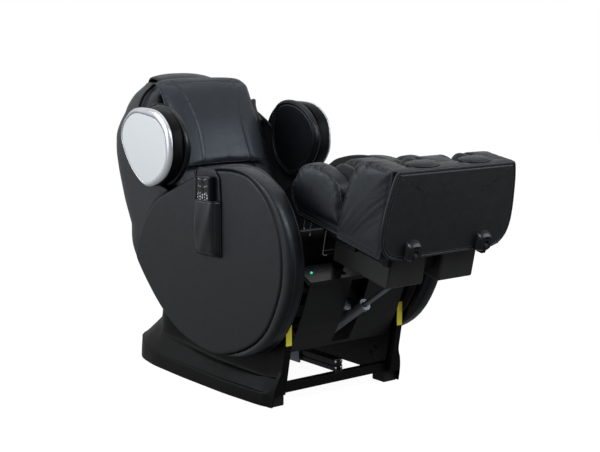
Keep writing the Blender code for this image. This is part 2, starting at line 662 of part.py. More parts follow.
PAD_DEEP = 0.048
RAIL_DEEP = 0.125
RAIL_X = 0.115


def back_pads():
    block("back_pad", (-0.265, 0.0, 0.0), (0.265, PAD_DEEP, 0.640), SOFT, recline_axis, BACK, bevel=0.014)
    crown = smooth([(0.712, 1.030), (0.706, 1.098), (0.735, 1.130), (0.785, 1.134), (0.808, 1.108), (0.810, 1.040)], 3)
    plate("head_pad", crown, -0.155, 0.155, LEATHER, recline_axis, bevel=0.012)
    flap = smooth([(0.760, 1.146), (0.800, 1.166), (0.862, 1.174), (0.890, 1.160), (0.900, 1.134), (0.880, 1.1385), (0.840, 1.1435)], 3)
    plate("top_flap", flap, -0.130, 0.130, LEATHER, recline_axis)


def pillow():
    outline = smooth([(0.490, 0.826), (0.545, 0.955), (0.608, 1.110), (0.640, 1.152), (0.690, 1.160)], 3)
    outline += [(0.712, 1.140), (0.690, 1.118), (0.6570, 1.1085), (0.5180, 0.8105), (0.502, 0.808)]
    return plate("pillow", outline, -0.205, 0.205, LEATHER, pillow_axis, bevel=0.010)


def back_frame():
    """Rails that the massage carriage climbs, and the arms down to the backrest's hinge."""
    made = rod("back_frame", (-RAIL_X, RAIL_DEEP, 0.0), (-RAIL_X, RAIL_DEEP, 0.60), 0.011, STEEL, recline_axis, BACK)
    parts = [rod("rail_left", (RAIL_X, RAIL_DEEP, 0.0), (RAIL_X, RAIL_DEEP, 0.60), 0.011, frame=BACK)]
    for height, half in ((0.006, 0.240), (0.594, 0.220)):
        parts.append(rod(f"cross_{half}", (-half, RAIL_DEEP, height), (half, RAIL_DEEP, height), 0.010, frame=BACK))
    foot = BACK @ Vector((0, RAIL_DEEP, 0.006))
    turn = math.degrees(math.atan2(foot.z - RECLINE_PIVOT[1], foot.y - RECLINE_PIVOT[0]))
    outline = (arc(RECLINE_PIVOT, 0.016, turn + 90, turn + 270, 10)
               + arc((foot.y, foot.z), 0.016, turn - 90, turn + 90, 10))
    for side in (-1, 1):
        xs = sorted((side * 0.2310, side * 0.2415))
        parts.append(plate(f"recline_arm_{side}", outline, *xs))
    combine(made, parts)
    holes = [rod("recline_bore", (-0.3, *RECLINE_PIVOT), (0.3, *RECLINE_PIVOT), 0.0083, sides=16)]
    return cut(made, holes)


WING = smooth([
    (0.292, 0.895), (0.302, 0.955), (0.345, 1.012), (0.410, 1.050), (0.485, 1.064), (0.555, 1.052), (0.598, 1.010),
    (0.612, 0.950), (0.608, 0.880), (0.585, 0.815), (0.538, 0.768), (0.470, 0.740), (0.390, 0.765), (0.325, 0.825),
], 3, closed=True)
CAP = smooth([
    (0.304, 0.905), (0.320, 0.985), (0.390, 1.042), (0.490, 1.056), (0.585, 1.046), (0.652, 0.998), (0.676, 0.940),
    (0.645, 0.870), (0.580, 0.797), (0.485, 0.748), (0.375, 0.783), (0.318, 0.842),
], 3, closed=True)


def shoulder_wings():
    for side, hand in ((-1, "right"), (1, "left")):
        inner = sorted((side * 0.3020, side * 0.3320))
        outer = sorted((side * 0.3460, side * 0.4000))
        wing = plate(f"shoulder_wing_{hand}", WING, *inner, LEATHER, recline_axis, bevel=0.012)
        cap = plate(f"wing_cap_{hand}", CAP, *outer, SILVER, recline_axis, bevel=0.012)
        combine(cap, [rod(f"cap_boss_{hand}", (side * 0.3323, 0.448, 0.905), (side * 0.3500, 0.448, 0.905), 0.104, sides=32)])


def massage_head():
    """A carriage between the rails, with two rocking arms that each carry a roller."""
    height = 0.300
    carriage_axis = empty("carriage_axis", *(BACK @ Vector((0, RAIL_DEEP, height))).yz, parent=recline_axis)
    low, high = height - 0.060, height + 0.060
    carriage = block("massage_carriage", (-0.103, 0.108, low), (0.103, 0.150, high), STEEL, carriage_axis, BACK, bevel=0.004)
    combine(carriage, [
        block("carriage_neck", (-0.040, 0.070, height - 0.020), (0.040, 0.112, height + 0.020), frame=BACK),
        rod("rocker_pin", (-0.062, 0.082, height), (0.062, 0.082, height), 0.006, frame=BACK, sides=16),
    ])
    for side, hand in ((-1, "right"), (1, "left")):
        pivot = BACK @ Vector((0, 0.082, height))
        axis = empty(f"rocker_axis_{hand}", pivot.y, pivot.z, x=side * 0.052, parent=carriage_axis)
        xs = sorted((side * 0.0465, side * 0.0580))
        rocker = plate(f"rocker_arm_{hand}", [(0.072, height + 0.062), (0.092, height + 0.062), (0.094, height),
                                              (0.090, height - 0.050), (0.076, height - 0.050), (0.070, height)],
                       *xs, ALLOY, axis, BACK)
        axle = sorted((side * 0.050, side * 0.0870))
        combine(rocker, [rod(f"roller_axle_{hand}", (axle[0], 0.078, height + 0.052),
                             (axle[1], 0.078, height + 0.052), 0.004, frame=BACK, sides=16)])
        cut(rocker, [rod(f"rocker_bore_{hand}", (-0.1, 0.082, height), (0.1, 0.082, height), 0.0063, frame=BACK, sides=16)])
        centre = Vector((side * 0.0725, 0.078, height + 0.052))
        spot = BACK @ centre
        spin = empty(f"roller_spin_{hand}", spot.y, spot.z, x=spot.x, parent=axis)
        wheel(f"massage_roller_{hand}", centre, 0.0135, 0.0235, 0.0043, RUBBER, spin, BACK)


# Leg rest. In its frame -Y runs out along the leg and +Z is up through it.

BOX_HIGH = 0.108
BOX_FAR = 0.355
BOARD = (0.1085, 0.1120)


def leg_frame():
    made = block("leg_frame", (-0.235, -0.330, BOARD[0]), (0.235, 0.090, BOARD[1]), STEEL, leg_axis, LEG)
    parts = [
        block("leg_beam", (-0.030, -0.330, 0.050), (0.030, -0.030, 0.1095), frame=LEG),
        rod("leg_sleeve", (-0.0600, 0, 0), (0.0600, 0, 0), 0.016, frame=LEG),
        block("sleeve_web", (-0.0550, -0.060, 0.006), (0.0550, 0.000, 0.060), frame=LEG),
        block("sleeve_top", (-0.0295, -0.100, 0.040), (0.0295, -0.020, 0.1095), frame=LEG),
    ]
    head = LEG.inverted() @ Vector((0, *ACTUATOR_HEAD))
    for side in (-1, 1):
        cheek = sorted((side * 0.0172, side * 0.0232))
        parts.append(plate(f"clevis_{side}", [(head.y - 0.026, 0.060), (head.y - 0.016, head.z - 0.012),
                                              (head.y + 0.016, head.z - 0.012), (head.y + 0.026, 0.060)],
                           *cheek, frame=LEG))
        guide = sorted((side * 0.2045, side * 0.2315))
        parts.append(block(f"guide_{side}", (guide[0], -0.210, 0.0850), (guide[1], -0.170, 0.1090), frame=LEG))
    combine(made, parts)
    bores = [rod("leg_bore", (-0.1, 0, 0), (0.1, 0, 0), 0.0093, frame=LEG)]
    bores += [rod(f"guide_bore_{side}", (side * 0.218, -0.3, 0.0970), (side * 0.218, 0.1, 0.0970), 0.0083,
                  frame=LEG, sides=16) for side in (-1, 1)]
    return cut(made, bores)


def leg_boxes():
    for side, hand in ((-1, "right"), (1, "left")):
        xs = sorted((side * 0.0365, side * 0.1995))
        block(f"leg_box_{hand}", (xs[0], -BOX_FAR, 0.0), (xs[1], -0.066, BOX_HIGH), PLASTIC, leg_axis, LEG, bevel=0.006)


def trough(name, x_middle, half, low, y_low, y_high, high=0.50):
    """A cutter for a leg or foot well: a slot with a round bottom."""
    curve = bpy.data.curves.new(name, "CURVE")
    curve.dimensions = "2D"
    curve.fill_mode = "BOTH"
    curve.extrude = (y_high - y_low) / 2
    bottom = [(half * math.cos(a), half * math.sin(a)) for a in (math.pi * (1 + i / 10) for i in range(11))]
    points = bottom + [(half, high - low - half), (-half, high - low - half)]
    spline = curve.splines.new("POLY")
    spline.points.add(len(points) - 1)
    for point, (x, z) in zip(spline.points, points):
        point.co = (x, z, 0.0, 1.0)
    spline.use_cyclic_u = True
    made = bpy.data.objects.new(name, curve)
    chair.objects.link(made)
    middle = Matrix.Translation((x_middle, (y_low + y_high) / 2, low + half))
    made.matrix_world = LEG @ middle @ Matrix.Rotation(math.pi / 2, 4, "X")
    bpy.context.view_layer.update()
    return meshed(made)


WELL_X, WELL_HALF, WELL_LOW = 0.120, 0.066, 0.185


def calf_section():
    outline = smooth([(0.100, 0.1125), (0.154, 0.175), (0.150, 0.235), (0.115, 0.295), (0.050, 0.322), (-0.030, 0.322),
                      (-0.095, 0.297), (-0.128, 0.240), (-0.146, 0.135), (-0.138, 0.1125)], 3)
    made = plate("calf_section", outline, -LEG_HALF, LEG_HALF, LEATHER, leg_axis, LEG)
    cut(made, [trough(f"calf_well_{side}", side * WELL_X, WELL_HALF, WELL_LOW, -0.30, 0.30) for side in (-1, 1)])
    return made


def foot_section():
    outline = smooth([(-0.152, 0.1170), (-0.151, 0.200), (-0.156, 0.275), (-0.173, 0.350), (-0.206, 0.402),
                      (-0.255, 0.425), (-0.384, 0.4275)], 3)
    outline += [(-0.3848, 0.120), (-0.3800, 0.1170)]
    made = plate("foot_section", outline, -FOOT_HALF, FOOT_HALF, LEATHER, foot_axis, LEG)
    wells = []
    for side in (-1, 1):
        wells.append(trough(f"foot_well_{side}", side * WELL_X, WELL_HALF, WELL_LOW, -0.325, 0.0))
        wells.append(trough(f"toe_well_{side}", side * WELL_X, WELL_HALF - 0.004, WELL_LOW + 0.004, -0.365, -0.2, high=0.385))
    return cut(made, wells)


CASTER_X, CASTER_Y, CASTER_Z = 0.163, -0.4160, 0.1360


def sole_plate():
    """The padded plate at the end, and the two housings of the rollers it runs down a wall on."""
    low, high = 0.118, 0.4275
    ring = [(0.270, high), (0.282, 0.375), (0.292, 0.310), (0.298, 0.250), (0.297, 0.200), (0.284, 0.160),
            (0.258, 0.133), (0.220, 0.1195), (0.195, low)]
    ring += [(-x, z) for x, z in reversed(ring)]
    curve = bpy.data.curves.new("sole_plate", "CURVE")
    curve.dimensions = "2D"
    curve.fill_mode = "BOTH"
    curve.extrude = 0.0072
    curve.materials.append(LEATHER)
    spline = curve.splines.new("POLY")
    spline.points.add(len(ring) - 1)
    for point, (x, z) in zip(spline.points, ring):
        point.co = (x, z, 0.0, 1.0)
    spline.use_cyclic_u = True
    made = bpy.data.objects.new("sole_plate", curve)
    chair.objects.link(made)
    made.matrix_world = LEG @ Matrix.Translation((0, -0.3925, 0)) @ Matrix.Rotation(math.pi / 2, 4, "X")
    bpy.context.view_layer.update()
    made = meshed(made)
    attach(made, foot_axis)
    bevelled(made, 0.003, 1)
    housings, slots, pins = [], [], []
    for side in (-1, 1):
        x = side * CASTER_X
        housings.append(block(f"housing_{side}", (x - 0.030, -0.424, 0.1185), (x + 0.030, -0.395, 0.186), frame=LEG, bevel=0.010))
        slots.append(block(f"slot_{side}", (x - 0.0090, -0.45, 0.10), (x + 0.0090, -0.4000, 0.156), frame=LEG))
        pins.append(rod(f"caster_pin_{side}", (x - 0.012, CASTER_Y, CASTER_Z), (x + 0.012, CASTER_Y, CASTER_Z), 0.003, frame=LEG, sides=12))
    combine(made, housings)
    cut(made, slots)
    combine(made, pins)
    for side, hand in ((-1, "right"), (1, "left")):
        centre = Vector((side * CASTER_X, CASTER_Y, CASTER_Z))
        spot = LEG @ centre
        spin = empty(f"caster_spin_{hand}", spot.y, spot.z, x=spot.x, parent=foot_axis)
        wheel(f"caster_wheel_{hand}", centre, 0.0080, 0.0155, 0.0033, RUBBER, spin, LEG, sides=20)
    return made


def foot_carrier():
    """The foot section's steel carrier, whose two rods slide in the leg frame's guides."""
    made = block("foot_carrier", (-0.232, -0.372, 0.1130), (0.232, -0.345, 0.1166), STEEL, foot_axis, LEG)
    parts = []
    for side in (-1, 1):
        parts.append(rod(f"slide_rod_{side}", (side * 0.218, -0.370, 0.0970), (side * 0.218, -0.030, 0.0970), 0.008, frame=LEG, sides=16))
        lug = sorted((side * 0.2080, side * 0.2280))
        parts.append(block(f"rod_lug_{side}", (lug[0], -0.371, 0.0890), (lug[1], -0.346, 0.1150), frame=LEG))
    return combine(made, parts)


def leg_actuator():
    """A screw actuator: its barrel and motor swing on the seat frame, and its rod pushes the leg rest."""
    foot, head = Vector((0, *ACTUATOR_FOOT)), Vector((0, *ACTUATOR_HEAD))
    line = (head - foot).normalized()
    up = Vector((0, -line.z, line.y)) * -1
    barrel = rod("leg_actuator_barrel", foot + line * 0.004, foot + line * 0.352, 0.0180, ALLOY, actuator_axis)
    parts = [
        rod("barrel_eye", foot - Vector((0.0140, 0, 0)), foot + Vector((0.0140, 0, 0)), 0.0150),
        rod("barrel_collar", foot + line * 0.345, foot + line * 0.362, 0.0225),
        rod("motor_case", foot + line * 0.110 + up * 0.043, foot + line * 0.265 + up * 0.043, 0.0210),
        rod("gear_case", foot + line * 0.082 + up * 0.024, foot + line * 0.112 + up * 0.024, 0.0380),
    ]
    combine(barrel, parts)
    bores = [
        rod("eye_bore", foot - Vector((0.05, 0, 0)), foot + Vector((0.05, 0, 0)), 0.0063, sides=16),
        rod("barrel_bore", foot + line * 0.022, foot + line * 0.40, 0.0108),
    ]
    cut(barrel, bores)
    plunger = rod("leg_actuator_rod", foot + line * 0.285, head - line * 0.008, 0.0100, ALLOY, plunger_axis)
    combine(plunger, [
        rod("rod_eye", head - Vector((0.0130, 0, 0)), head + Vector((0.0130, 0, 0)), 0.0140),
        rod("head_pin", head - Vector((0.0168, 0, 0)), head + Vector((0.0168, 0, 0)), 0.0055, sides=16),
    ])
    return barrel, plunger


def centre_on_origin():
    """Slides the whole chair along Y, so that the middle of its length is over the origin."""
    for group in (chair, cutters):
        for piece in group.objects:
            if not piece.parent:
                piece.location.y -= MIDDLE_Y


feet()
base_frame()
side_plates()
rollers_and_wheels()
base_skirt()
power_inlet()
tilt_drive()
seat_frame()
seat_cushion()
side_panels()
front_panels()
remote_pouch()
remote_control()
back_shell()
back_pads()
pillow()
back_frame()
shoulder_wings()
massage_head()
leg_frame()
leg_boxes()
calf_section()
foot_section()
sole_plate()
foot_carrier()
leg_actuator()
centre_on_origin()
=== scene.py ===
"""The looks of a reclining massage chair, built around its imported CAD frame.

Metres, +Z up, the chair faces -Y. Shapes are drawn in the part's own drawing coordinates, whose
origin lies MIDDLE_Y behind the frame's; WORLD, LEG and BACK take them into the frame.
"""

import json
import math

import bmesh
import bpy
import numpy as np
from mathutils import Matrix, Vector
from mathutils.bvhtree import BVHTree
from mathutils.kdtree import KDTree

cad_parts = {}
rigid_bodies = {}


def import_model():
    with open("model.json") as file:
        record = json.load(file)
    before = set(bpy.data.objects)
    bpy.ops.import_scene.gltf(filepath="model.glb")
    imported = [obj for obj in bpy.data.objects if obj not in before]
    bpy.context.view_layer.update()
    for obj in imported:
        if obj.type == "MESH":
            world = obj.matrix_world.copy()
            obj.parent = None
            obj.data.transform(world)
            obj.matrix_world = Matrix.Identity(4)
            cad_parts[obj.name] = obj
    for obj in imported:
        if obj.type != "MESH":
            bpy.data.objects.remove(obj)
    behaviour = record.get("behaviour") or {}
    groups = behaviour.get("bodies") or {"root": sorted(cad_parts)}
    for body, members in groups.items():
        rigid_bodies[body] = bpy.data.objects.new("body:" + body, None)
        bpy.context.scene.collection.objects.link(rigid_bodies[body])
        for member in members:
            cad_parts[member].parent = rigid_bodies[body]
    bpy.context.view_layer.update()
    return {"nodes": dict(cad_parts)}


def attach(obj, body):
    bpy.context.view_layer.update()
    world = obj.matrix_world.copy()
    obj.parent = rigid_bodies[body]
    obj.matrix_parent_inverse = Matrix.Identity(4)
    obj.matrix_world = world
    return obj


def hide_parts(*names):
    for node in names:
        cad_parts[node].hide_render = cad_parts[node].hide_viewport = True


for old in list(bpy.data.objects):
    bpy.data.objects.remove(old)

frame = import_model()

MIDDLE_Y = 0.0356
WORLD = Matrix.Translation((0, -MIDDLE_Y, 0))
LEG = WORLD @ Matrix.Translation((0, -0.36, 0.58)) @ Matrix.Rotation(math.radians(12), 4, "X")
BACK = WORLD @ Matrix.Translation((0, 0.375, 0.50)) @ Matrix.Rotation(-math.radians(25), 4, "X")
HANDS = ((-1, "right"), (1, "left"))


# Materials.

class Nodes:
    """A node tree, and a short way to add to it."""

    def __init__(self, tree):
        self.nodes, self.links = tree.nodes, tree.links

    def node(self, kind, output, sources=(), values=(), **settings):
        """A node's output, the node given its settings, its linked inputs and its fixed ones."""
        made = self.nodes.new("ShaderNode" + kind)
        for name, setting in settings.items():
            setattr(made, name, setting)
        for socket, value in values:
            made.inputs[socket].default_value = value
        for socket, source in sources:
            self.links.new(source, made.inputs[socket])
        return made.outputs[output]

    def mapped(self, source, low, high, start=0.0, end=1.0, **settings):
        limits = (("From Min", start), ("From Max", end), ("To Min", low), ("To Max", high))
        return self.node("MapRange", "Result", [("Value", source)], limits, **settings)

    def sums(self, a, b, operation="ADD"):
        return self.node("Math", "Value", [(0, a), (1, b)], operation=operation)


class Shade(Nodes):
    """A Principled material, and the textures that vary it."""

    def __init__(self, name, colour, roughness, metallic=0.0, specular=0.5, coat=0.0, coat_roughness=0.1):
        self.material = bpy.data.materials.new(name)
        self.material.use_nodes = True
        super().__init__(self.material.node_tree)
        self.surface = self.nodes["Principled BSDF"]
        self.colour = colour
        for socket, value in (("Base Color", (*colour, 1.0)), ("Roughness", roughness), ("Metallic", metallic),
                              ("Specular IOR Level", specular), ("Coat Weight", coat),
                              ("Coat Roughness", coat_roughness)):
            self.surface.inputs[socket].default_value = value
        self.coords = self.nodes.new("ShaderNodeTexCoord").outputs["Object"]
        self.normal = None

    def stretched(self, scale):
        return self.node("Mapping", "Vector", [("Vector", self.coords)], [("Scale", scale)])

    def noise(self, scale, detail=3.0, coords=None):
        return self.node("TexNoise", "Fac", [("Vector", coords or self.coords)],
                         [("Scale", scale), ("Detail", detail)])

    def cells(self, scale):
        return self.node("TexVoronoi", "Distance", [("Vector", self.coords)], [("Scale", scale)], feature="F1")

    def waves(self, scale, direction):
        return self.node("TexWave", "Fac", [("Vector", self.coords)], [("Scale", scale)], bands_direction=direction)

    def bump(self, height, strength, distance):
        sources = [("Height", height)] + ([("Normal", self.normal)] if self.normal else [])
        self.normal = self.node("Bump", "Normal", sources, [("Strength", strength), ("Distance", distance)])
        self.links.new(self.normal, self.surface.inputs["Normal"])

    def vary_colour(self, source, low, high):
        """Base colour between two multiples of the colour."""
        ends = [(socket, (*[min(1.0, c * share) for c in self.colour], 1.0)) for socket, share in ((6, low), (7, high))]
        self.links.new(self.node("Mix", 2, [(0, source)], ends, data_type="RGBA"), self.surface.inputs["Base Color"])

    def vary_roughness(self, source, low, high):
        self.links.new(self.mapped(source, low, high, 0.3, 0.7), self.surface.inputs["Roughness"])


def leather(name, colour, roughness, coat=0.0, crease=0.20):
    made = Shade(name, colour, roughness, specular=0.45, coat=coat, coat_roughness=0.25)
    made.surface.inputs["Specular Tint"].default_value = (0.84, 0.92, 1.0, 1.0)
    made.vary_colour(made.noise(9.0, 4.0), 0.82, 1.20)
    made.vary_roughness(made.noise(40.0, 3.0), roughness - 0.05, roughness + 0.06)
    made.bump(made.noise(16.0, 3.0), crease, 0.004)
    made.bump(made.cells(620.0), 0.22, 0.0005)
    made.bump(made.noise(260.0, 2.0), 0.10, 0.0006)
    return made.material


def mesh_fabric(name, colour):
    made = Shade(name, colour, 0.85, specular=0.3)
    made.surface.inputs["Sheen Weight"].default_value = 0.25
    made.surface.inputs["Sheen Roughness"].default_value = 0.5
    weave = made.sums(made.waves(180.0, "X"), made.waves(180.0, "Y"), "MULTIPLY")
    made.vary_colour(made.sums(weave, made.noise(30.0, 4.0)), 0.55, 1.5)
    made.bump(weave, 0.5, 0.0010)
    made.bump(made.noise(60.0, 4.0), 0.35, 0.003)
    return made.material


def plastic(name, colour, roughness, grain=900.0, strength=0.12, coat=0.0, specular=0.30):
    made = Shade(name, colour, roughness, specular=specular, coat=coat, coat_roughness=0.12)
    made.vary_colour(made.noise(7.0, 3.0), 0.88, 1.12)
    made.vary_roughness(made.noise(25.0, 4.0), roughness - 0.04, roughness + 0.05)
    made.bump(made.noise(grain, 2.0), strength, 0.0003)
    return made.material


def painted_steel(name, colour, roughness):
    made = Shade(name, colour, roughness, metallic=0.0, specular=0.15)
    made.vary_colour(made.noise(12.0, 4.0), 0.85, 1.15)
    made.vary_roughness(made.noise(60.0, 4.0), roughness - 0.06, roughness + 0.08)
    made.bump(made.noise(1100.0, 2.0), 0.15, 0.0003)
    return made.material


def bare_metal(name, colour, roughness, brushed=(1.0, 60.0, 60.0)):
    made = Shade(name, colour, roughness, metallic=0.95)
    streaks = made.noise(30.0, 4.0, made.stretched(brushed))
    made.vary_colour(streaks, 0.90, 1.06)
    made.vary_roughness(streaks, roughness - 0.06, roughness + 0.09)
    made.bump(streaks, 0.05, 0.0003)
    return made.material


def silver_paint(name, colour, roughness, metallic, coat):
    made = Shade(name, colour, roughness, metallic=metallic, coat=coat, coat_roughness=0.08)
    made.vary_colour(made.noise(1400.0, 2.0), 0.97, 1.03)
    made.vary_roughness(made.noise(18.0, 3.0), roughness - 0.03, roughness + 0.04)
    made.bump(made.noise(900.0, 1.0), 0.04, 0.0002)
    return made.material


def rubber_like(name, colour, roughness=0.72):
    made = Shade(name, colour, roughness, specular=0.35)
    made.vary_colour(made.noise(35.0, 4.0), 0.8, 1.25)
    made.bump(made.noise(420.0, 3.0), 0.25, 0.0005)
    return made.material


LEATHER = leather("leather_black", (0.0050, 0.0056, 0.0070), 0.38)
# Painted light: the shell's leather is the same black leather with a base colour about four times lighter, standing in
# for the light from behind and the left on the shell's sides.
LEATHER_SHELL_LIT = leather("leather_shell_painted_light", (0.0200, 0.0210, 0.0228), 0.40, crease=0.14)
LEATHER_DISC = leather("leather_disc", (0.0046, 0.0048, 0.0053), 0.46, crease=0.14)
# Painted light: the sole's leather is the same black leather with a base colour about twice as light, standing in for
# the light from the front on the sole.
LEATHER_SOLE_LIT = leather("leather_sole_painted_light", (0.0092, 0.0090, 0.0094), 0.44, crease=0.14)
# Painted light: the pillow's leather is the same black leather with a base colour four to five times lighter, standing
# in for the light from above and in front on the pillow.
LEATHER_PILLOW_LIT = leather("leather_pillow_painted_light", (0.0215, 0.0245, 0.0300), 0.36, crease=0.26)
LEATHER_GLOSS = leather("leather_gloss", (0.0040, 0.0042, 0.0050), 0.34, coat=0.05, crease=0.10)
FABRIC = mesh_fabric("mesh_fabric_black", (0.0055, 0.0055, 0.0060))
PIPING = leather("piping_black", (0.0045, 0.0048, 0.0056), 0.34, crease=0.05)
THREAD = rubber_like("thread_grey", (0.060, 0.064, 0.070), 0.6)
SKIRT = plastic("skirt_plastic", (0.0034, 0.0035, 0.0038), 0.42, grain=1100.0, strength=0.18, specular=0.10)
PLASTIC = plastic("satin_plastic", (0.0092, 0.0098, 0.0114), 0.38)
GLOSS = plastic("gloss_plastic", (0.0075, 0.0082, 0.0100), 0.24, coat=0.15)
BOX = plastic("leg_box_plastic", (0.0240, 0.0238, 0.0238), 0.42, grain=1300.0)
STEEL = painted_steel("powder_coated_steel", (0.0020, 0.0020, 0.0023), 0.45)
ALLOY = bare_metal("cast_alloy_satin", (0.24, 0.26, 0.29), 0.44)
BOLT = bare_metal("bolt_zinc", (0.62, 0.62, 0.60), 0.25)
TRACK = bare_metal("track_anodised", (0.035, 0.035, 0.040), 0.32, (60.0, 1.0, 60.0))
RIM = silver_paint("silver_rim", (0.70, 0.72, 0.75), 0.22, 0.60, 0.4)
FACE = silver_paint("silver_face", (0.94, 0.97, 1.00), 0.34, 0.0, 0.30)
RUBBER = rubber_like("rubber_black", (0.0040, 0.0040, 0.0043))
LABEL = plastic("label_yellow", (0.90, 0.80, 0.07), 0.45)
PRINT = plastic("handset_print", (0.85, 0.87, 0.90), 0.45)
LENS = Shade("green_lens_lit", (0.04, 0.62, 0.34), 0.15, coat=0.6)
LENS.vary_colour(LENS.noise(400.0), 0.8, 1.2)
LENS.surface.inputs["Emission Color"].default_value = (0.10, 0.80, 0.50, 1.0)
LENS.surface.inputs["Emission Strength"].default_value = 0.6


# Points and outlines.

def smooth(points, steps=4, closed=False):
    """Points along a Catmull-Rom curve through the given ones."""
    count = len(points)
    found = []
    for i in range(count if closed else count - 1):
        if closed:
            a, b, c, d = (points[(i + k) % count] for k in (-1, 0, 1, 2))
        else:
            a, b, c, d = (points[min(max(i + k, 0), count - 1)] for k in (-1, 0, 1, 2))
        for step in range(steps):
            t = step / steps
            found.append(tuple(
                0.5 * (2 * q + (r - p) * t + (2 * p - 5 * q + 4 * r - s) * t**2
                       + (3 * q - p - 3 * r + s) * t**3)
                for p, q, r, s in zip(a, b, c, d)
            ))
    if not closed:
        found.append(tuple(points[-1]))
    return found


def lengths(path):
    """How far along a path each of its points lies."""
    return np.concatenate([[0], np.cumsum(np.linalg.norm(np.diff(path, axis=0), axis=1))])


def resampled(points, count, closed=True):
    """Evenly spaced points along a path of tuples."""
    path = np.array(points, float)
    if closed:
        path = np.vstack([path, path[:1]])
    along = lengths(path)
    spots = np.linspace(0, along[-1], count + 1 if closed else count)
    if closed:
        spots = spots[:-1]
    return np.stack([np.interp(spots, along, path[:, k]) for k in range(path.shape[1])], axis=1)


def relaxed(points, rounds):
    """A closed outline with its corners rounded off."""
    path = np.array(points, float)
    for _ in range(rounds):
        path = path * 0.5 + (np.roll(path, 1, 0) + np.roll(path, -1, 0)) * 0.25
    return path


def inset(outline, distance):
    """A closed (n, 2) outline moved inwards."""
    ahead, behind = np.roll(outline, -1, 0), np.roll(outline, 1, 0)
    run = ahead - behind
    run /= np.linalg.norm(run, axis=1)[:, None] + 1e-12
    area = np.sum(outline[:, 0] * ahead[:, 1] - ahead[:, 0] * outline[:, 1])
    inward = np.stack([-run[:, 1], run[:, 0]], axis=1) * (1 if area > 0 else -1)
    return outline + inward * distance


def arc(centre, radius, start, end, steps):
    turns = [math.radians(start + (end - start) * i / steps) for i in range(steps + 1)]
    return [(centre[0] + radius * math.cos(t), centre[1] + radius * math.sin(t)) for t in turns]


def value_at(table, x):
    return float(np.interp(x, [k for k, _ in table], [v for _, v in table]))


def soft_at(table, x, reach=0.03):
    """A value read from a short table with its corners rounded off."""
    spots = np.linspace(x - reach, x + reach, 9)
    return float(np.mean(np.interp(spots, [k for k, _ in table], [v for _, v in table])))


def signed_power(value, power):
    return math.copysign(abs(value) ** power, value)


def spaced(low, high, count):
    """Count + 1 even steps from one value to another."""
    return [low + (high - low) * k / count for k in range(count + 1)]


def turns(count):
    return [2 * math.pi * k / count for k in range(count)]


def squarish(middle, half, power, count):
    """Points round a squarish oval, in its own plane; a lower power is squarer."""
    return [(middle[0] + half[0] * signed_power(math.cos(t), power),
             middle[1] + half[1] * signed_power(math.sin(t), power)) for t in turns(count)]


def eased(t):
    return t * t * (3 - 2 * t)


# Pieces.

def added(name, data):
    """A new object in the scene."""
    fresh = bpy.data.objects.new(name, data)
    bpy.context.scene.collection.objects.link(fresh)
    return fresh


def welded(mesh, outward=False):
    form = bmesh.new()
    form.from_mesh(mesh)
    bmesh.ops.remove_doubles(form, verts=form.verts, dist=0.00002)
    if outward:
        bmesh.ops.recalc_face_normals(form, faces=form.faces)
    form.to_mesh(mesh)
    form.free()


def piece(name, points, faces, finish, body, space=WORLD, soft=True):
    """A closed mesh that rides on a body."""
    mesh = bpy.data.meshes.new(name)
    mesh.from_pydata([space @ Vector(p) for p in points], [], faces)
    welded(mesh, outward=True)
    if soft:
        mesh.shade_smooth()
    mesh.materials.append(finish)
    made = added(name, mesh)
    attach(made, body)
    return made


def skin_faces(rows, count, closed_rows=False):
    """Faces between rows of points, each row a closed ring."""
    faces = []
    for r in range(rows if closed_rows else rows - 1):
        a, b = r * count, ((r + 1) % rows) * count
        for i in range(count):
            j = (i + 1) % count
            faces.append((a + i, a + j, b + j, b + i))
    if not closed_rows:
        faces.append(tuple(range(count))[::-1])
        faces.append(tuple((rows - 1) * count + i for i in range(count)))
    return faces


def skin(name, rings, finish, body, space=WORLD, closed_rows=False, soft=True):
    count = len(rings[0])
    points = [tuple(p) for ring in rings for p in ring]
    return piece(name, points, skin_faces(len(rings), count, closed_rows), finish, body, space, soft)


def baked(made):
    """The piece with its modifiers applied."""
    graph = bpy.context.evaluated_depsgraph_get()
    graph.update()
    mesh = bpy.data.meshes.new_from_object(made.evaluated_get(graph))
    old = made.data
    made.modifiers.clear()
    made.data = mesh
    mesh.name = old.name
    return made


def cut(made, low, high, space=WORLD):
    """Cuts a box out of a piece."""
    low, high = Vector(low), Vector(high)
    mesh = bpy.data.meshes.new("cutter")
    form = bmesh.new()
    bmesh.ops.create_cube(form, size=1.0, matrix=space @ Matrix.Translation((low + high) / 2)
                          @ Matrix.Diagonal((*(high - low), 1.0)))
    form.to_mesh(mesh)
    form.free()
    tool = added("cutter", mesh)
    modifier = made.modifiers.new("Cut", "BOOLEAN")
    modifier.operation = "DIFFERENCE"
    modifier.object = tool
    baked(made)
    bpy.data.objects.remove(tool)
    return made


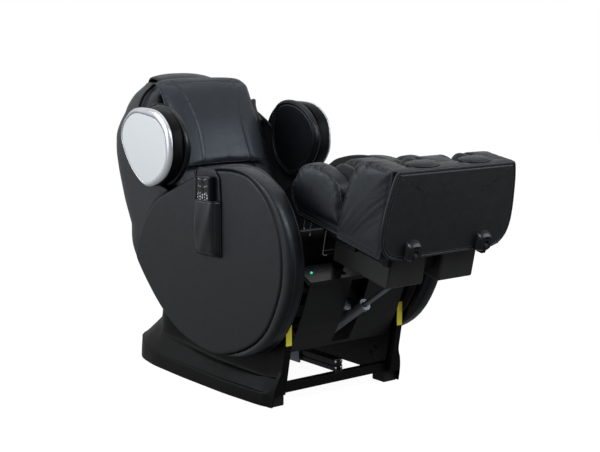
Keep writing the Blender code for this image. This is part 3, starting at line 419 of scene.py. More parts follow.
class Pad:
    """The section through a padded panel: a rounded edge, then a crowned face with seams sunk in it."""

    def __init__(self, outline, edge, crown, seams=(), count=240):
        self.outline = resampled(outline, count)
        self.edge, self.crown, self.seams = edge, crown, seams
        self.middle = self.outline.mean(0)
        self.centre = (self.outline.max(0) + self.outline.min(0)) / 2
        self.span = (self.outline.max(0) - self.outline.min(0)) / 2
        self.reach = float(np.min(np.linalg.norm(self.outline - self.middle, axis=1))) * 0.9
        self.band = min(self.reach * 0.45, 0.026)

    def drop(self, distance, spot=None):
        """How far a face lies under its highest point, at a distance in from the outline."""
        round_off = 0.0
        if distance < self.edge:
            round_off = self.edge - math.sqrt(max(self.edge**2 - (self.edge - distance)**2, 0.0))
        sunk = sum(depth * math.exp(-((distance - at) / 0.0028)**2) for at, depth in self.seams)
        dome = 0.0
        if spot is not None:
            u, v = (np.array(spot) - self.centre) / self.span
            dome = (1 - min(u * u, 1.0)) * (1 - min(v * v, 1.0))
        return round_off + self.crown * (1 - dome) + sunk

    def ring(self, distance):
        band = self.band
        if distance <= band:
            return inset(self.outline, distance)
        share = (self.reach - distance) / (self.reach - band)
        rim = inset(self.outline, band)
        return self.middle + (rim - self.middle) * max(share, 0.02)

    def distances(self):
        spots = {self.edge * (1 - math.sin(math.radians(a))) for a in (0, 18, 36, 54, 72, 90)}
        band = self.band
        spots |= {self.edge + (band - self.edge) * k / 5 for k in range(6)}
        for at, _ in self.seams:
            spots |= {at + k * 0.0016 for k in (-3, -2, -1, 0, 1, 2, 3)}
        spots |= {band + (self.reach - band) * k / 9 for k in range(1, 10)}
        spots = sorted(s for s in spots if s >= 0)
        return [s for k, s in enumerate(spots) if k == 0 or s - spots[k - 1] > 0.0004]


def slab(name, outline, low, high, finish, body, slot="black_leather", side=1, edge=0.015, crown=0.005, seams=(),
         space=WORLD, count=240, back_crown=None):
    """A padded panel of a (y, z) outline between two x, its outer face the crowned one."""
    pad = Pad(outline, edge, crown, seams, count)
    rear = Pad(outline, edge, crown if back_crown is None else back_crown, (), count)
    rings = []
    for distance in pad.distances()[::-1]:
        rings.append([(side * (high - pad.drop(distance, (y, z))), y, z) for y, z in pad.ring(distance)])
    for distance in rear.distances():
        rings.append([(side * (low + rear.drop(distance, (y, z))), y, z) for y, z in rear.ring(distance)])
    made = skin(name, rings, finish, body, space)
    return made, pad


def pad_path(pad, distance, face_x, side, lift=0.0006):
    """A path on the pad's outer face, parallel to its outline."""
    ring = pad.ring(distance)
    return [Vector((side * (face_x - pad.drop(distance, spot) + lift), *spot)) for spot in (*ring, ring[0])]


TUBE_SIDES = 8
STITCH_LENGTH, STITCH_GAP, STITCH_RADIUS, STITCH_SIDES = 0.0060, 0.0035, 0.00075, 5


def tube(name, path, radius, finish, body, space=WORLD, closed=False):
    """A round cord along a path of points."""
    path = [Vector(p) for p in path]
    if closed and (path[0] - path[-1]).length < 1e-5:
        path = path[:-1]
    count = len(path)
    up = None
    rings = []
    for i, spot in enumerate(path):
        ahead = path[(i + 1) % count] if closed or i < count - 1 else spot
        behind = path[i - 1] if closed or i > 0 else spot
        along = (ahead - behind).normalized()
        if up is None:
            up = along.orthogonal().normalized()
        up = (up - along * up.dot(along)).normalized()
        across = along.cross(up)
        rings.append([spot + (up * math.cos(a) + across * math.sin(a)) * radius for a in turns(TUBE_SIDES)])
    return skin(name, rings, finish, body, space, closed_rows=closed)


def stitches(name, paths, body, space=WORLD):
    """Thread along paths, stitch by stitch."""
    points, faces = [], []
    for path in paths:
        spots = np.array([tuple(p) for p in path])
        along = lengths(spots)
        for begin in np.arange(STITCH_GAP, along[-1] - STITCH_LENGTH, STITCH_LENGTH + STITCH_GAP):
            a, b = (Vector([np.interp(s, along, spots[:, k]) for k in range(3)])
                    for s in (begin, begin + STITCH_LENGTH))
            run = (b - a).normalized()
            up = run.orthogonal().normalized()
            across = run.cross(up)
            base, n = len(points), STITCH_SIDES
            points.append(tuple(a))
            for centre in (a.lerp(b, 0.15), a.lerp(b, 0.85)):
                points += [tuple(centre + (up * math.cos(t) + across * math.sin(t)) * STITCH_RADIUS) for t in turns(n)]
            points.append(tuple(b))
            for k in range(n):
                j = (k + 1) % n
                faces.append((base, base + 1 + j, base + 1 + k))
                faces.append((base + 1 + k, base + 1 + j, base + 1 + n + j, base + 1 + n + k))
                faces.append((base + 1 + n + k, base + 1 + n + j, base + 1 + 2 * n))
    return piece(name, points, faces, THREAD, body, space=space)


def surface_of(made):
    graph = bpy.context.evaluated_depsgraph_get()
    graph.update()
    return BVHTree.FromObject(made, graph)


def laid(made, path, space=WORLD, lift=0.0006, aim=None):
    """The path moved onto a piece's surface, as points in the frame."""
    tree = surface_of(made)
    found = []
    for spot in path:
        spot = space @ Vector(spot)
        hit = None
        if aim is not None:
            way = (space.to_3x3() @ Vector(aim)).normalized()
            hit, normal, _, _ = tree.ray_cast(spot - way * 0.15, way)
        if hit is None:
            hit, normal, _, _ = tree.find_nearest(spot)
        found.append((hit, normal))
    return [hit + normal * lift for hit, normal in found], [normal for _, normal in found]


def beside(path, normals, offset):
    """The path moved sideways on its surface."""
    found = []
    for i, spot in enumerate(path):
        ahead, behind = path[min(i + 1, len(path) - 1)], path[max(i - 1, 0)]
        across = normals[i].cross(ahead - behind)
        if across.length > 1e-9:
            found.append(spot + across.normalized() * offset)
    return found


def groove(made, paths, depth=0.0025, width=0.0045):
    """Sinks a seam into a mesh along paths given in the frame."""
    spots = []
    for path in paths:
        dense = resampled([tuple(p) for p in path], max(int(len(path) * 3), 20), closed=False)
        spots += [Vector(p) for p in dense]
    tree = KDTree(len(spots))
    for i, spot in enumerate(spots):
        tree.insert(spot, i)
    tree.balance()
    moved = []
    for vertex in made.data.vertices:
        _, _, distance = tree.find(vertex.co)
        if distance < width * 2.5:
            moved.append((vertex, vertex.normal * depth * math.exp(-(distance / width)**2)))
    for vertex, shift in moved:
        vertex.co = vertex.co - shift
    made.data.update()


def seam(made, name, path, body, space=WORLD, aim=None, depth=0.0025, width=0.0045, offset=0.0048, both=True):
    """A sunk seam with a row of stitches on one side or both."""
    on, _ = laid(made, path, space, 0.0, aim)
    groove(made, [on], depth, width)
    on, normals = laid(made, path, space, 0.0004, aim)
    rows = []
    for side in ((-1, 1) if both else (1,)):
        row = beside(on, normals, side * offset)
        rows.append(laid(made, row, Matrix(), 0.0004)[0])
    return stitches(name, rows, body, space=Matrix())


# Cushions.

def from_cad(name, node, finish, body, voxel=0.006, rounds=8, shrink=0.0):
    """A soft copy of a CAD solid: remeshed evenly and rounded off."""
    mesh = frame["nodes"][node].data.copy()
    welded(mesh)
    mesh.materials.clear()
    made = added(name, mesh)
    soften(made, voxel, rounds, shrink)
    made.data.materials.append(finish)
    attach(made, body)
    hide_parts(node)
    return made


def soften(made, voxel, rounds, shrink=0.0):
    remesh = made.modifiers.new("Remesh", "REMESH")
    remesh.mode = "VOXEL"
    remesh.voxel_size = voxel
    remesh.use_smooth_shade = True
    relax = made.modifiers.new("Smooth", "SMOOTH")
    relax.factor = 0.5
    relax.iterations = rounds
    if shrink:
        draw_in = made.modifiers.new("Displace", "DISPLACE")
        draw_in.strength = -shrink
        draw_in.mid_level = 0.0
    baked(made)
    made.data.shade_smooth()
    return made


PUFF_FRAMES = 14


def puff(made, pressure, cap, pinned=None):
    """Inflates a cushion with a cloth simulation, each point moving no further than the cap."""
    rest = np.empty(len(made.data.vertices) * 3)
    made.data.vertices.foreach_get("co", rest)
    rest = rest.reshape(-1, 3)
    cloth = made.modifiers.new("Cloth", "CLOTH")
    settings = cloth.settings
    settings.quality = 4
    settings.mass = 0.3
    settings.tension_stiffness = settings.compression_stiffness = 15
    settings.shear_stiffness = 8
    settings.bending_stiffness = 0.6
    settings.use_pressure = True
    settings.uniform_pressure_force = pressure
    settings.effector_weights.gravity = 0
    if pinned is not None:
        group = made.vertex_groups.new(name="held")
        for index, spot in enumerate(rest):
            weight = pinned(spot)
            if weight > 0:
                group.add([index], weight, "REPLACE")
        settings.vertex_group_mass = "held"
    cloth.point_cache.frame_start = 1
    cloth.point_cache.frame_end = PUFF_FRAMES
    scene = bpy.context.scene
    for number in range(1, PUFF_FRAMES + 1):
        scene.frame_set(number)
    baked(made)
    moved = np.empty(len(made.data.vertices) * 3)
    made.data.vertices.foreach_get("co", moved)
    step = moved.reshape(-1, 3) - rest
    size = np.linalg.norm(step, axis=1)[:, None] + 1e-12
    step *= cap * np.tanh(size / cap) / size
    made.data.vertices.foreach_set("co", (rest + step).ravel())
    made.data.update()
    made.data.shade_smooth()
    made.vertex_groups.clear()
    scene.frame_set(1)
    return made


LOBE_ROWS, LOBE_SIDES = 20, 36


def lobe(name, centre, half, finish, body, space=WORLD, power=0.75):
    """A plump closed pad, squarer than an ellipsoid."""
    rings = []
    for lift in spaced(-90, 90, LOBE_ROWS):
        lift = math.radians(lift)
        level, out = signed_power(math.sin(lift), power), max(abs(math.cos(lift)) ** power, 0.002)
        rings.append([(x, y, centre[2] + half[2] * level)
                      for x, y in squarish(centre, (half[0] * out, half[1] * out), power, LOBE_SIDES)])
    return skin(name, rings, finish, body, space)


# Side panels and arm hoops.

FLANK = smooth([
    (0.643, 0.4436), (0.566, 0.362), (0.446, 0.262), (0.300, 0.186), (0.090, 0.152),
    (-0.135, 0.186), (-0.292, 0.276), (-0.390, 0.430), (-0.412, 0.560), (-0.382, 0.688),
    (-0.298, 0.798), (-0.172, 0.858), (-0.020, 0.868), (0.150, 0.830), (0.4135, 0.7272),
])
RECLINE_PIVOT = (0.25, 0.36)
SEAM_LINE = arc(RECLINE_PIVOT, 0.402, 66, 12, 9)
HOOP_START, HOOP_END = 17, 52
HOOP_X = (0.2960, 0.3690)
HOOP_POWER = 2 / 2.5
PANEL_X = (0.282, 0.3610)


def hoop_edge(extra=0.0):
    """The hoop's inner edge: in from the flank by a width that swells at the front."""
    found = []
    for i in range(HOOP_START, HOOP_END + 1):
        (y0, z0), (y1, z1) = FLANK[i - 1], FLANK[i + 1]
        run = math.hypot(y1 - y0, z1 - z0)
        inward = ((z1 - z0) / run, -(y1 - y0) / run)
        t = (i - HOOP_START) / (HOOP_END - HOOP_START)
        front = math.sin(math.pi * min(t / 0.78, 1.0)) ** 0.8
        width = extra + 0.004 + 0.040 * front + 0.024 * math.sin(math.pi * t)
        found.append((FLANK[i][0] + inward[0] * width, FLANK[i][1] + inward[1] * width))
    return found


def side_panel(side, hand):
    outline = FLANK[:HOOP_START] + hoop_edge(0.0005) + FLANK[HOOP_END + 1:] + SEAM_LINE[1:-1]
    outline = relaxed(resampled(outline, 420), 7)
    made, _ = slab(f"side_panel_{hand}_leather", outline, *PANEL_X, LEATHER_DISC, "seat", side=side,
                   edge=0.011, crown=0.0016, count=420, back_crown=0.002)
    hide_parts(f"side_panel_{hand}")
    # The lining on the inside of the arm, well in from the hoop's edge.
    lining = FLANK[:HOOP_START] + hoop_edge(-0.020) + FLANK[HOOP_END + 1:] + SEAM_LINE[1:-1]
    lining = relaxed(resampled(lining, 300), 4)
    inner, _ = slab(f"arm_lining_{hand}", inset(lining, 0.004), -0.2990, -0.2830, FABRIC, "seat", "black_leather",
                    -side, edge=0.006, crown=0.0015, count=300)


def hoop_sections():
    count = 150
    outer = resampled(FLANK[HOOP_START:HOOP_END + 1], count, closed=False)
    inner = resampled(hoop_edge(), count, closed=False)
    return outer, inner


def arm_hoop(side, hand):
    outer, inner = hoop_sections()
    low, high = HOOP_X
    rings = []
    for i, (far, near) in enumerate(zip(outer, inner)):
        t = i / (len(outer) - 1)
        ends = min(1.0, 8 * min(t, 1 - t) + 0.12)
        middle, half = (far + near) / 2, np.linalg.norm(far - near) / 2
        way = (far - near) / (2 * half)
        top = low + (high - low) * (0.62 + 0.38 * ends) - 0.006 * (1 - ends)
        centre, reach = (low + top) / 2, (top - low) / 2
        rings.append([(side * x, *(middle + way * out))
                      for out, x in squarish((0.0, centre), (half, reach), HOOP_POWER, 44)])
    made = skin(f"arm_hoop_{hand}_leather", rings, LEATHER, "seat")
    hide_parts(f"arm_hoop_{hand}")
    line = [tuple(near + (far - near) * min(0.011 / np.linalg.norm(far - near), 0.4))
            for far, near in zip(outer, inner)][6:-6]
    path = [(side * 0.36, y, z) for y, z in line]
    seam(made, f"arm_hoop_{hand}_seam", path, "seat", aim=(-side, 0, 0), depth=0.0015, both=True, offset=0.0040)
    rim = [(side * 0.3060, far[0] - (near[0] - far[0]) * 0.3, far[1] - (near[1] - far[1]) * 0.3)
           for far, near in zip(outer, inner)][10:-10]
    inside, _ = laid(made, rim, lift=0.0)
    tube(f"arm_hoop_{hand}_piping", inside, 0.0018, PIPING, "seat", space=Matrix())
    outside = [(side * 0.3560, *(far + (far - near) * 0.3)) for far, near in zip(outer, inner)][10:-10]
    ring, _ = laid(made, outside, lift=0.0004)
    stitches(f"arm_hoop_{hand}_edge_stitches", [ring], "seat", space=Matrix())


# Shoulder wings and their caps.

WING = smooth([
    (0.292, 0.895), (0.302, 0.955), (0.345, 1.012), (0.410, 1.050), (0.485, 1.064), (0.555, 1.052), (0.598, 1.010),
    (0.612, 0.950), (0.608, 0.880), (0.585, 0.815), (0.538, 0.768), (0.470, 0.740), (0.390, 0.765), (0.325, 0.825),
], 5, closed=True)
CAP = smooth([
    (0.304, 0.905), (0.320, 0.985), (0.390, 1.042), (0.490, 1.056), (0.585, 1.046), (0.652, 0.998), (0.676, 0.940),
    (0.645, 0.870), (0.580, 0.797), (0.485, 0.748), (0.375, 0.783), (0.318, 0.842),
], 5, closed=True)


def wing(side, hand):
    made, pad = slab(f"shoulder_wing_{hand}_leather", WING, -0.3325, -0.3015, LEATHER_GLOSS, "backrest",
                     "black_leather", -side, edge=0.013, crown=0.005, seams=((0.0200, 0.0022),), count=200,
                     back_crown=0.002)
    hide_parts(f"shoulder_wing_{hand}")
    for index, distance in enumerate((0.0060, 0.0125)):
        path = pad_path(pad, distance, -0.3015, -side, lift=0.0)
        tube(f"shoulder_wing_{hand}_piping_{index}", path, 0.0017, PIPING, "backrest", closed=True)
    stitches(f"shoulder_wing_{hand}_stitches", [pad_path(pad, 0.0245, -0.3015, -side)], "backrest")


def cap_ring(share, lift):
    """A ring of the cap's skin: share 0 at the outline, 1 at the flat face's edge."""
    outline = resampled(CAP, 160)
    middle = outline.mean(0)
    found = []
    for y, z in outline:
        way = np.array([y, z]) - middle
        way /= np.linalg.norm(way)
        # The rim is widest at the front and top, and narrow at the rear.
        front = 0.5 + 0.5 * (-way[0] * 0.85 + way[1] * 0.53)
        width = 0.008 + 0.024 * front
        spot = np.array([y, z]) - way * width * share
        found.append((lift, spot[0], spot[1]))
    return found


def cap(side, hand):
    def placed(rings):
        return [[(side * x, y, z) for x, y, z in ring] for ring in rings]

    rim = [cap_ring(1.02, 0.3925), cap_ring(0.98, 0.3970)]
    for turn in (15, 30, 45, 60, 75, 90):
        a = math.radians(turn)
        rim.append(cap_ring(1 - math.sin(a), 0.3845 + 0.0140 * math.cos(a) ** 0.8))
    rim += [cap_ring(0.03, 0.3835), cap_ring(0.5, 0.3835)]
    shell = skin(f"wing_cap_{hand}_rim", placed(rim), RIM, "backrest")
    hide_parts(f"wing_cap_{hand}")
    outline = np.array([(y, z) for _, y, z in cap_ring(1.04, 0.0)])
    slab(f"wing_cap_{hand}_face", outline, 0.3860, 0.3985, FACE, "backrest", "silver_satin", side,
         edge=0.0035, crown=0.0030, count=160)
    slab(f"wing_cap_{hand}_gusset", inset(resampled(CAP, 160), 0.0015), 0.3340, 0.3840, SKIRT,
         "backrest", "black_plastic", side, edge=0.006, crown=0.0, count=160)


# Back shell, its liner, pads and flap.

REAR_LINE = [(0.43, 0.713), (0.54, 0.773), (0.66, 0.836), (0.78, 0.880), (0.86, 0.900), (0.95, 0.908),
             (1.03, 0.903), (1.09, 0.888), (1.135, 0.862)]
SHELL_HALF = [(0.43, 0.345), (0.85, 0.345), (0.93, 0.339), (0.98, 0.318), (1.03, 0.288), (1.07, 0.255), (1.10, 0.225),
              (1.125, 0.190), (1.135, 0.170)]
EDGE_LINE = [(0.735, 0.425), (0.76, 0.470), (0.84, 0.555), (0.90, 0.600), (0.96, 0.650), (1.00, 0.698), (1.03, 0.735),
             (1.07, 0.765), (1.10, 0.780), (1.135, 0.785)]


def shell_edge(z):
    rise = z - RECLINE_PIVOT[1]
    reach = 0.4085
    if rise < reach * 0.90:
        return RECLINE_PIVOT[0] + math.sqrt(reach**2 - rise**2)
    return value_at(EDGE_LINE, z)


def shell_path(z, inwards=0.0):
    """The right half of the shell's section at a height, from the front edge to the rear middle."""
    under = max(0.52 - z, 0.0) / 0.09
    half = min(soft_at(SHELL_HALF, z, 0.02), 0.345) - inwards - 0.012 * under**2
    rear = soft_at(REAR_LINE, z, 0.02) + 0.004 - inwards - 0.032 * under**2
    edge = shell_edge(z)
    corner = min(0.15, half * 0.7, (rear - edge) * 0.8)
    path = [(half, edge + (rear - corner - edge) * k / 8) for k in range(8)]
    for k in range(15):
        a = math.pi / 2 * k / 14
        path.append((half - corner + corner * math.cos(a) ** 0.9, rear - corner + corner * math.sin(a) ** 0.9))
    path += [((half - corner) * (1 - k / 5), rear) for k in range(1, 6)]
    return path


def back_shell():
    heights = list(np.linspace(0.432, 1.08, 44)) + [1.092, 1.104, 1.114, 1.122, 1.129, 1.134]
    rings = []
    for z in heights:
        outer = shell_path(z)
        inner = shell_path(z, 0.0095)
        ring = [(-x, y, z) for x, y in outer]
        ring += [(x, y, z) for x, y in outer[::-1][1:]]
        # A rolled front edge joins the outside to the inside.
        edge = outer[0]
        ring += [(edge[0] - 0.0048 + 0.0048 * math.cos(a), edge[1] - 0.0048 * math.sin(a), z)
                 for a in (math.pi * k / 5 for k in range(1, 5))]
        ring += [(x, y, z) for x, y in inner]
        ring += [(-x, y, z) for x, y in inner[::-1][1:]]
        ring += [(-(edge[0] - 0.0048 + 0.0048 * math.cos(a)), edge[1] - 0.0048 * math.sin(a), z)
                 for a in (math.pi * k / 5 for k in range(4, 0, -1))]
        rings.append(ring)
    made = skin("back_shell_leather", rings, LEATHER_SHELL_LIT, "backrest")
    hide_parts("back_shell")
    lid = []
    base = shell_path(1.134)
    outline = np.array([(-x, y) for x, y in base] + [(x, y) for x, y in base[::-1][1:]])
    outline = resampled(outline, 120)
    for distance, z in ((0.0120, 1.1255), (0.0012, 1.1270), (0.0, 1.1310), (0.0010, 1.1345), (0.0045, 1.1365),
                        (0.012, 1.1373), (0.03, 1.1376)):
        lid.append([(x, y, z) for x, y in inset(outline, distance)])
    skin("back_shell_lid", lid, LEATHER_SHELL_LIT, "backrest")
    rear_seams(made)
    rolls()
    liners()
    return made


def rear_seams(made):
    """Two upright seams that divide the rear of the shell in three, and one across it."""
    for side, hand in HANDS:
        path = [(side * (0.205 + 0.030 * math.sin(math.pi * t)), 1.0, 0.45 + 0.655 * t)
                for t in spaced(0, 1, 60)]
        seam(made, f"back_shell_seam_{hand}", path, "backrest", aim=(0, -1, 0), depth=0.0028)
    path = [(x, 1.0, 0.800 + 0.05 * math.cos(x * 6)) for x in spaced(-0.225, 0.225, 50)]
    seam(made, "back_shell_seam_across", path, "backrest", aim=(0, -1, 0), depth=0.0028)


def rolls():
    """The piped liner between the shell and the pillow, one roll either side."""
    for side, hand in HANDS:
        rings = []
        for k in range(29):
            z = 0.955 + 0.177 * k / 28
            half = soft_at(SHELL_HALF, z, 0.02) - 0.0125
            inner = min(0.200, half - 0.055)
            close = math.sqrt(max(1 - (2 * k / 28 - 1) ** 6, 0.0))
            front, rear = shell_edge(z) - 0.022, shell_edge(z) + 0.055
            mid_x, mid_y = (half + inner) / 2, (front + rear) / 2
            a, b = (half - inner) / 2 * max(close, 0.05), (rear - front) / 2 * max(close, 0.05)
            rings.append([(side * x, y, z) for x, y in squarish((mid_x, mid_y), (a, b), 0.7, 32)])
        made = skin(f"shell_roll_{hand}", rings, LEATHER, "backrest")
        edge = []
        for k in range(2, 27):
            z = 0.955 + 0.177 * k / 28
            half = soft_at(SHELL_HALF, z, 0.02) - 0.0175
            edge.append((side * half, shell_edge(z) - 0.017, z))
        on, _ = laid(made, edge, lift=0.0006)
        tube(f"shell_roll_{hand}_piping", on, 0.0022, PIPING, "backrest", space=Matrix())


def liners():
    """The padding that fills the shell's top beside the pillow."""
    for side, hand in HANDS:
        rings = []
        for k in range(25):
            z = 0.930 + 0.197 * k / 24
            front = value_at([(0.93, 0.602), (1.02, 0.646), (1.08, 0.680), (1.127, 0.722)], z)
            inner, outer = 0.140, max(min(0.262, soft_at(SHELL_HALF, z, 0.02) - 0.020), 0.165)
            close = max(math.sqrt(max(1 - (2 * k / 24 - 1) ** 6, 0.0)), 0.05)
            mid_x, mid_y, a, b = (inner + outer) / 2, front + 0.040, (outer - inner) / 2 * close, 0.040 * close
            rings.append([(side * x, y, z) for x, y in squarish((mid_x, mid_y), (a, b), 0.7, 32)])
        made = skin(f"shell_liner_{hand}", rings, LEATHER, "backrest")


FLAP_HALF = 0.134


def top_flap():
    """A thin flap of leather over the top of the pillow."""
    profile = smooth([(0.762, 1.147), (0.800, 1.164), (0.862, 1.172), (0.890, 1.160), (0.900, 1.1365)], 6)
    rings = []
    for x in spaced(-FLAP_HALF, FLAP_HALF, 40):
        droop = 0.024 * (abs(x) / FLAP_HALF) ** 2.6
        narrow = 1 - 0.10 * (abs(x) / FLAP_HALF) ** 6
        ring = [(x, 0.83 + (y - 0.83) * narrow, z - droop * 0.6) for y, z in profile]
        ring += [(x, 0.83 + (y - 0.83) * narrow - 0.003, max(z - 0.007 - droop * 0.6, 1.1375))
                 for y, z in profile[::-1]]
        rings.append(ring)
    made = skin("top_flap_leather", rings, LEATHER, "backrest")
    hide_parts("top_flap")
    rim = [(x, 0.766, 1.1500 - 0.0144 * (abs(x) / FLAP_HALF) ** 3) for x in spaced(-0.130, 0.130, 40)]
    on, _ = laid(made, rim, lift=0.0)
    tube("top_flap_piping", on, 0.0020, PIPING, "backrest", space=Matrix())


def head_pad():
    made = from_cad("head_pad_leather", "head_pad", LEATHER, "backrest", 0.006, 10, 0.003)
    puff(made, 3.0, 0.006)


def back_pad():
    made = from_cad("back_pad_leather", "back_pad", LEATHER, "backrest", 0.009, 7, 0.004)
    puff(made, 4.0, 0.010, pinned=lambda p: 1.0 if (BACK.inverted() @ Vector(p)).y > 0.038 else 0.0)
    for index, height in enumerate((0.12, 0.23, 0.34, 0.45)):
        path = [(x, 0.0, height + 0.018 * math.cos(x * 9)) for x in spaced(-0.240, 0.240, 60)]
        seam(made, f"back_pad_channel_{index}", path, "backrest", BACK, (0, 1, 0), 0.006, 0.009, 0.006)
    for side, hand in HANDS:
        path = [(side * 0.150, 0.0, height) for height in spaced(0.03, 0.60, 60)]
        seam(made, f"back_pad_seam_{hand}", path, "backrest", BACK, (0, 1, 0), 0.005, 0.007)


# Pillow.

PILLOW_FRONT = [(0.494, 0.816), (0.502, 0.850), (0.550, 0.955), (0.588, 1.025), (0.622, 1.085), (0.654, 1.132),
                (0.682, 1.153), (0.704, 1.158)]
PILLOW_REAR = [(0.512, 0.810), (0.5200, 0.815), (0.5675, 0.917), (0.6150, 1.018), (0.6560, 1.1000),
               (0.6800, 1.120), (0.712, 1.136)]
PILLOW_SEAM = [(0.82, 0.122), (0.90, 0.115), (0.96, 0.112), (1.02, 0.116), (1.08, 0.125), (1.158, 0.150)]


def pinched(t):
    """How far the pillow's corners are drawn in, from its foot (0) to its top (1)."""
    return 0.115 * max(1 - 2.2 * t, 0.0) ** 1.5 + 0.060 * max(6 * t - 5, 0.0) ** 2


def pillow():
    front = resampled(smooth(PILLOW_FRONT, 6), 56, closed=False)
    rear = resampled(smooth(PILLOW_REAR, 6), 56, closed=False)
    half, rings = 0.2230, []
    columns = [half * signed_power(math.sin(math.radians(a)), 0.85) for a in np.linspace(-90, 90, 65)]
    for x in columns:
        share = abs(x) / half
        full = max(1 - share ** 3.2, 0.0) ** (1 / 2.4)
        ring = []
        for k, (a, b) in enumerate(zip(front, rear)):
            t = k / 55
            plump = 1.0 + 0.20 * math.sin(math.pi * t) * (1 - share ** 2)
            spot = b + (a - b) * full * plump
            # The corners are drawn in, so that the sides bow out between them.
            pinch = 1 - pinched(t) * share ** 4
            ring.append((x * pinch, spot[0], spot[1] + 0.004 * (1 - share**2) * math.sin(math.pi * t)))
        ring += [(x * (1 - pinched(k / 55) * share ** 4), b[0], b[1])
                 for k, b in list(enumerate(rear))[::-1]]
        rings.append(ring)
    made = skin("pillow_leather", rings, LEATHER_PILLOW_LIT, "pillow")
    soften(made, 0.005, 3)
    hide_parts("pillow")
    puff(made, 4.0, 0.007, pinned=lambda p: 1.0 if p[2] > 1.13 and p[1] > 0.655 else 0.0)
    made.data.materials.clear()
    made.data.materials.append(LEATHER_PILLOW_LIT)
    for side, hand in HANDS:
        line = [front[int(round(2 + t * 50))] for t in spaced(0, 1, 70)]
        path = [(side * value_at(PILLOW_SEAM, z), y - 0.02, z) for y, z in line]
        seam(made, f"pillow_seam_{hand}", path, "pillow", aim=(0, 0.88, -0.40), depth=0.0052, width=0.0048,
             both=False)
    hem = [(x, 0.497, 0.812) for x in spaced(-0.196, 0.196, 60)]
    on, _ = laid(made, hem, lift=0.0006)
    tube("pillow_hem_piping", on, 0.0026, PIPING, "pillow", space=Matrix())
    top = [(x, 0.650, 1.160) for x in spaced(-0.190, 0.190, 60)]
    seam(made, "pillow_top_seam", top, "pillow", depth=0.0025)


# Seat.

def waist_flap():
    """A curved flap about the backrest's hinge that closes the gap behind the seat cushion."""
    rings = []
    for x in spaced(-0.2380, 0.2380, 32):
        sag = 0.0015 * math.sin(x * 45)
        outer = arc(RECLINE_PIVOT, 0.1650 + sag, -12, 52, 16)
        inner = arc(RECLINE_PIVOT, 0.1622 + sag, 52, -12, 16)
        rings.append([(x, y, z) for y, z in outer + inner])
    skin("waist_flap", rings, LEATHER, "backrest")


def seat_cushion():
    made = from_cad("seat_cushion_leather", "seat_cushion", LEATHER, "seat", 0.010, 7, 0.004)
    puff(made, 4.0, 0.012, pinned=lambda p: 1.0 if p[2] < 0.46 else 0.0)
    for side, hand in HANDS:
        path = [(side * (0.165 + 0.015 * math.sin(math.pi * t)), -0.20 + 0.48 * t, 0.70)
                for t in spaced(0, 1, 60)]
        seam(made, f"seat_cushion_seam_{hand}", path, "seat", aim=(0, 0, -1), depth=0.005, width=0.007)
    for index, y in enumerate((-0.12, 0.00, 0.12)):
        path = [(x, y, 0.70) for x in spaced(-0.16, 0.16, 40)]
        seam(made, f"seat_cushion_channel_{index}", path, "seat", aim=(0, 0, -1), depth=0.005, width=0.007)


# Leg rest.

CALF = smooth([(0.100, 0.1125), (0.154, 0.175), (0.150, 0.235), (0.115, 0.295), (0.050, 0.322), (-0.030, 0.322),
               (-0.095, 0.297), (-0.128, 0.240), (-0.146, 0.135), (-0.138, 0.1125)], 3)
FOOT = smooth([(-0.152, 0.1170), (-0.151, 0.200), (-0.156, 0.275), (-0.173, 0.350), (-0.206, 0.402),
               (-0.255, 0.425), (-0.384, 0.4275)], 3) + [(-0.3848, 0.120), (-0.3800, 0.1170)]
WELL_X, WELL_HALF = 0.120, 0.066


def fabric_in_wells(made, low):
    """Lines the wells with fabric: the faces that look into them."""
    made.data.materials.append(FABRIC)
    home = LEG.inverted()
    for face in made.data.polygons:
        spot = home @ face.center
        if abs(abs(spot.x) - WELL_X) < WELL_HALF + 0.004 and spot.z > low:
            face.material_index = 1


def end_seams(made, name, outline, half, body, distance):
    """A double seam round each end face, where it meets the band."""
    ring = inset(relaxed(resampled(outline, 200), 8), distance)
    for side, hand in HANDS:
        path = [(side * half, y, z) for y, z in np.vstack([ring, ring[:1]])]
        seam(made, f"{name}_seam_{hand}", path, body, LEG, (-side, 0, 0), 0.0022, 0.0045, 0.0045)


def calf_section():
    made = from_cad("calf_section_leather", "calf_section", LEATHER, "legrest", 0.0052, 9, 0.0035)
    home = LEG.inverted()
    puff(made, 4.0, 0.008, pinned=lambda p: 1.0 if (home @ Vector(p)).z < 0.150 else 0.0)
    fabric_in_wells(made, 0.150)
    end_seams(made, "calf_section", CALF, 0.250, "legrest", 0.0125)


def foot_section():
    made = from_cad("foot_section_leather", "foot_section", LEATHER, "footrest", 0.0052, 7, 0.0030)
    home = LEG.inverted()

    def held(p):
        spot = home @ Vector(p)
        return 1.0 if spot.z < 0.150 or spot.y < -0.376 else 0.0

    puff(made, 4.0, 0.007, pinned=held)
    fabric_in_wells(made, 0.150)
    end_seams(made, "foot_section", FOOT, 0.280, "footrest", 0.0125)


def leg_lobes():
    """The plump fabric pads that line the wells and stand a little above them."""
    for side, hand in HANDS:
        for place, offset in (("inner", -0.047), ("outer", 0.047)):
            x = side * (WELL_X + offset)
            for part, body, spot, half in (("calf", "legrest", (x, -0.045, 0.272), (0.018, 0.070, 0.062)),
                                           ("foot", "footrest", (x, -0.252, 0.335), (0.018, 0.062, 0.080))):
                pad = lobe(f"{part}_lobe_{place}_{hand}", spot, half, FABRIC, body, LEG)
        toe = lobe(f"toe_hood_{hand}", (side * WELL_X, -0.345, 0.424), (0.066, 0.030, 0.014), FABRIC, "footrest",
                   LEG, 0.85)
        ring = [(side * WELL_X + 0.069 * math.cos(a), -0.345 + 0.033 * math.sin(a), 0.4275)
                for a in turns(60)]
        tube(f"toe_hood_piping_{hand}", ring, 0.0026, PIPING, "footrest", LEG, closed=True)


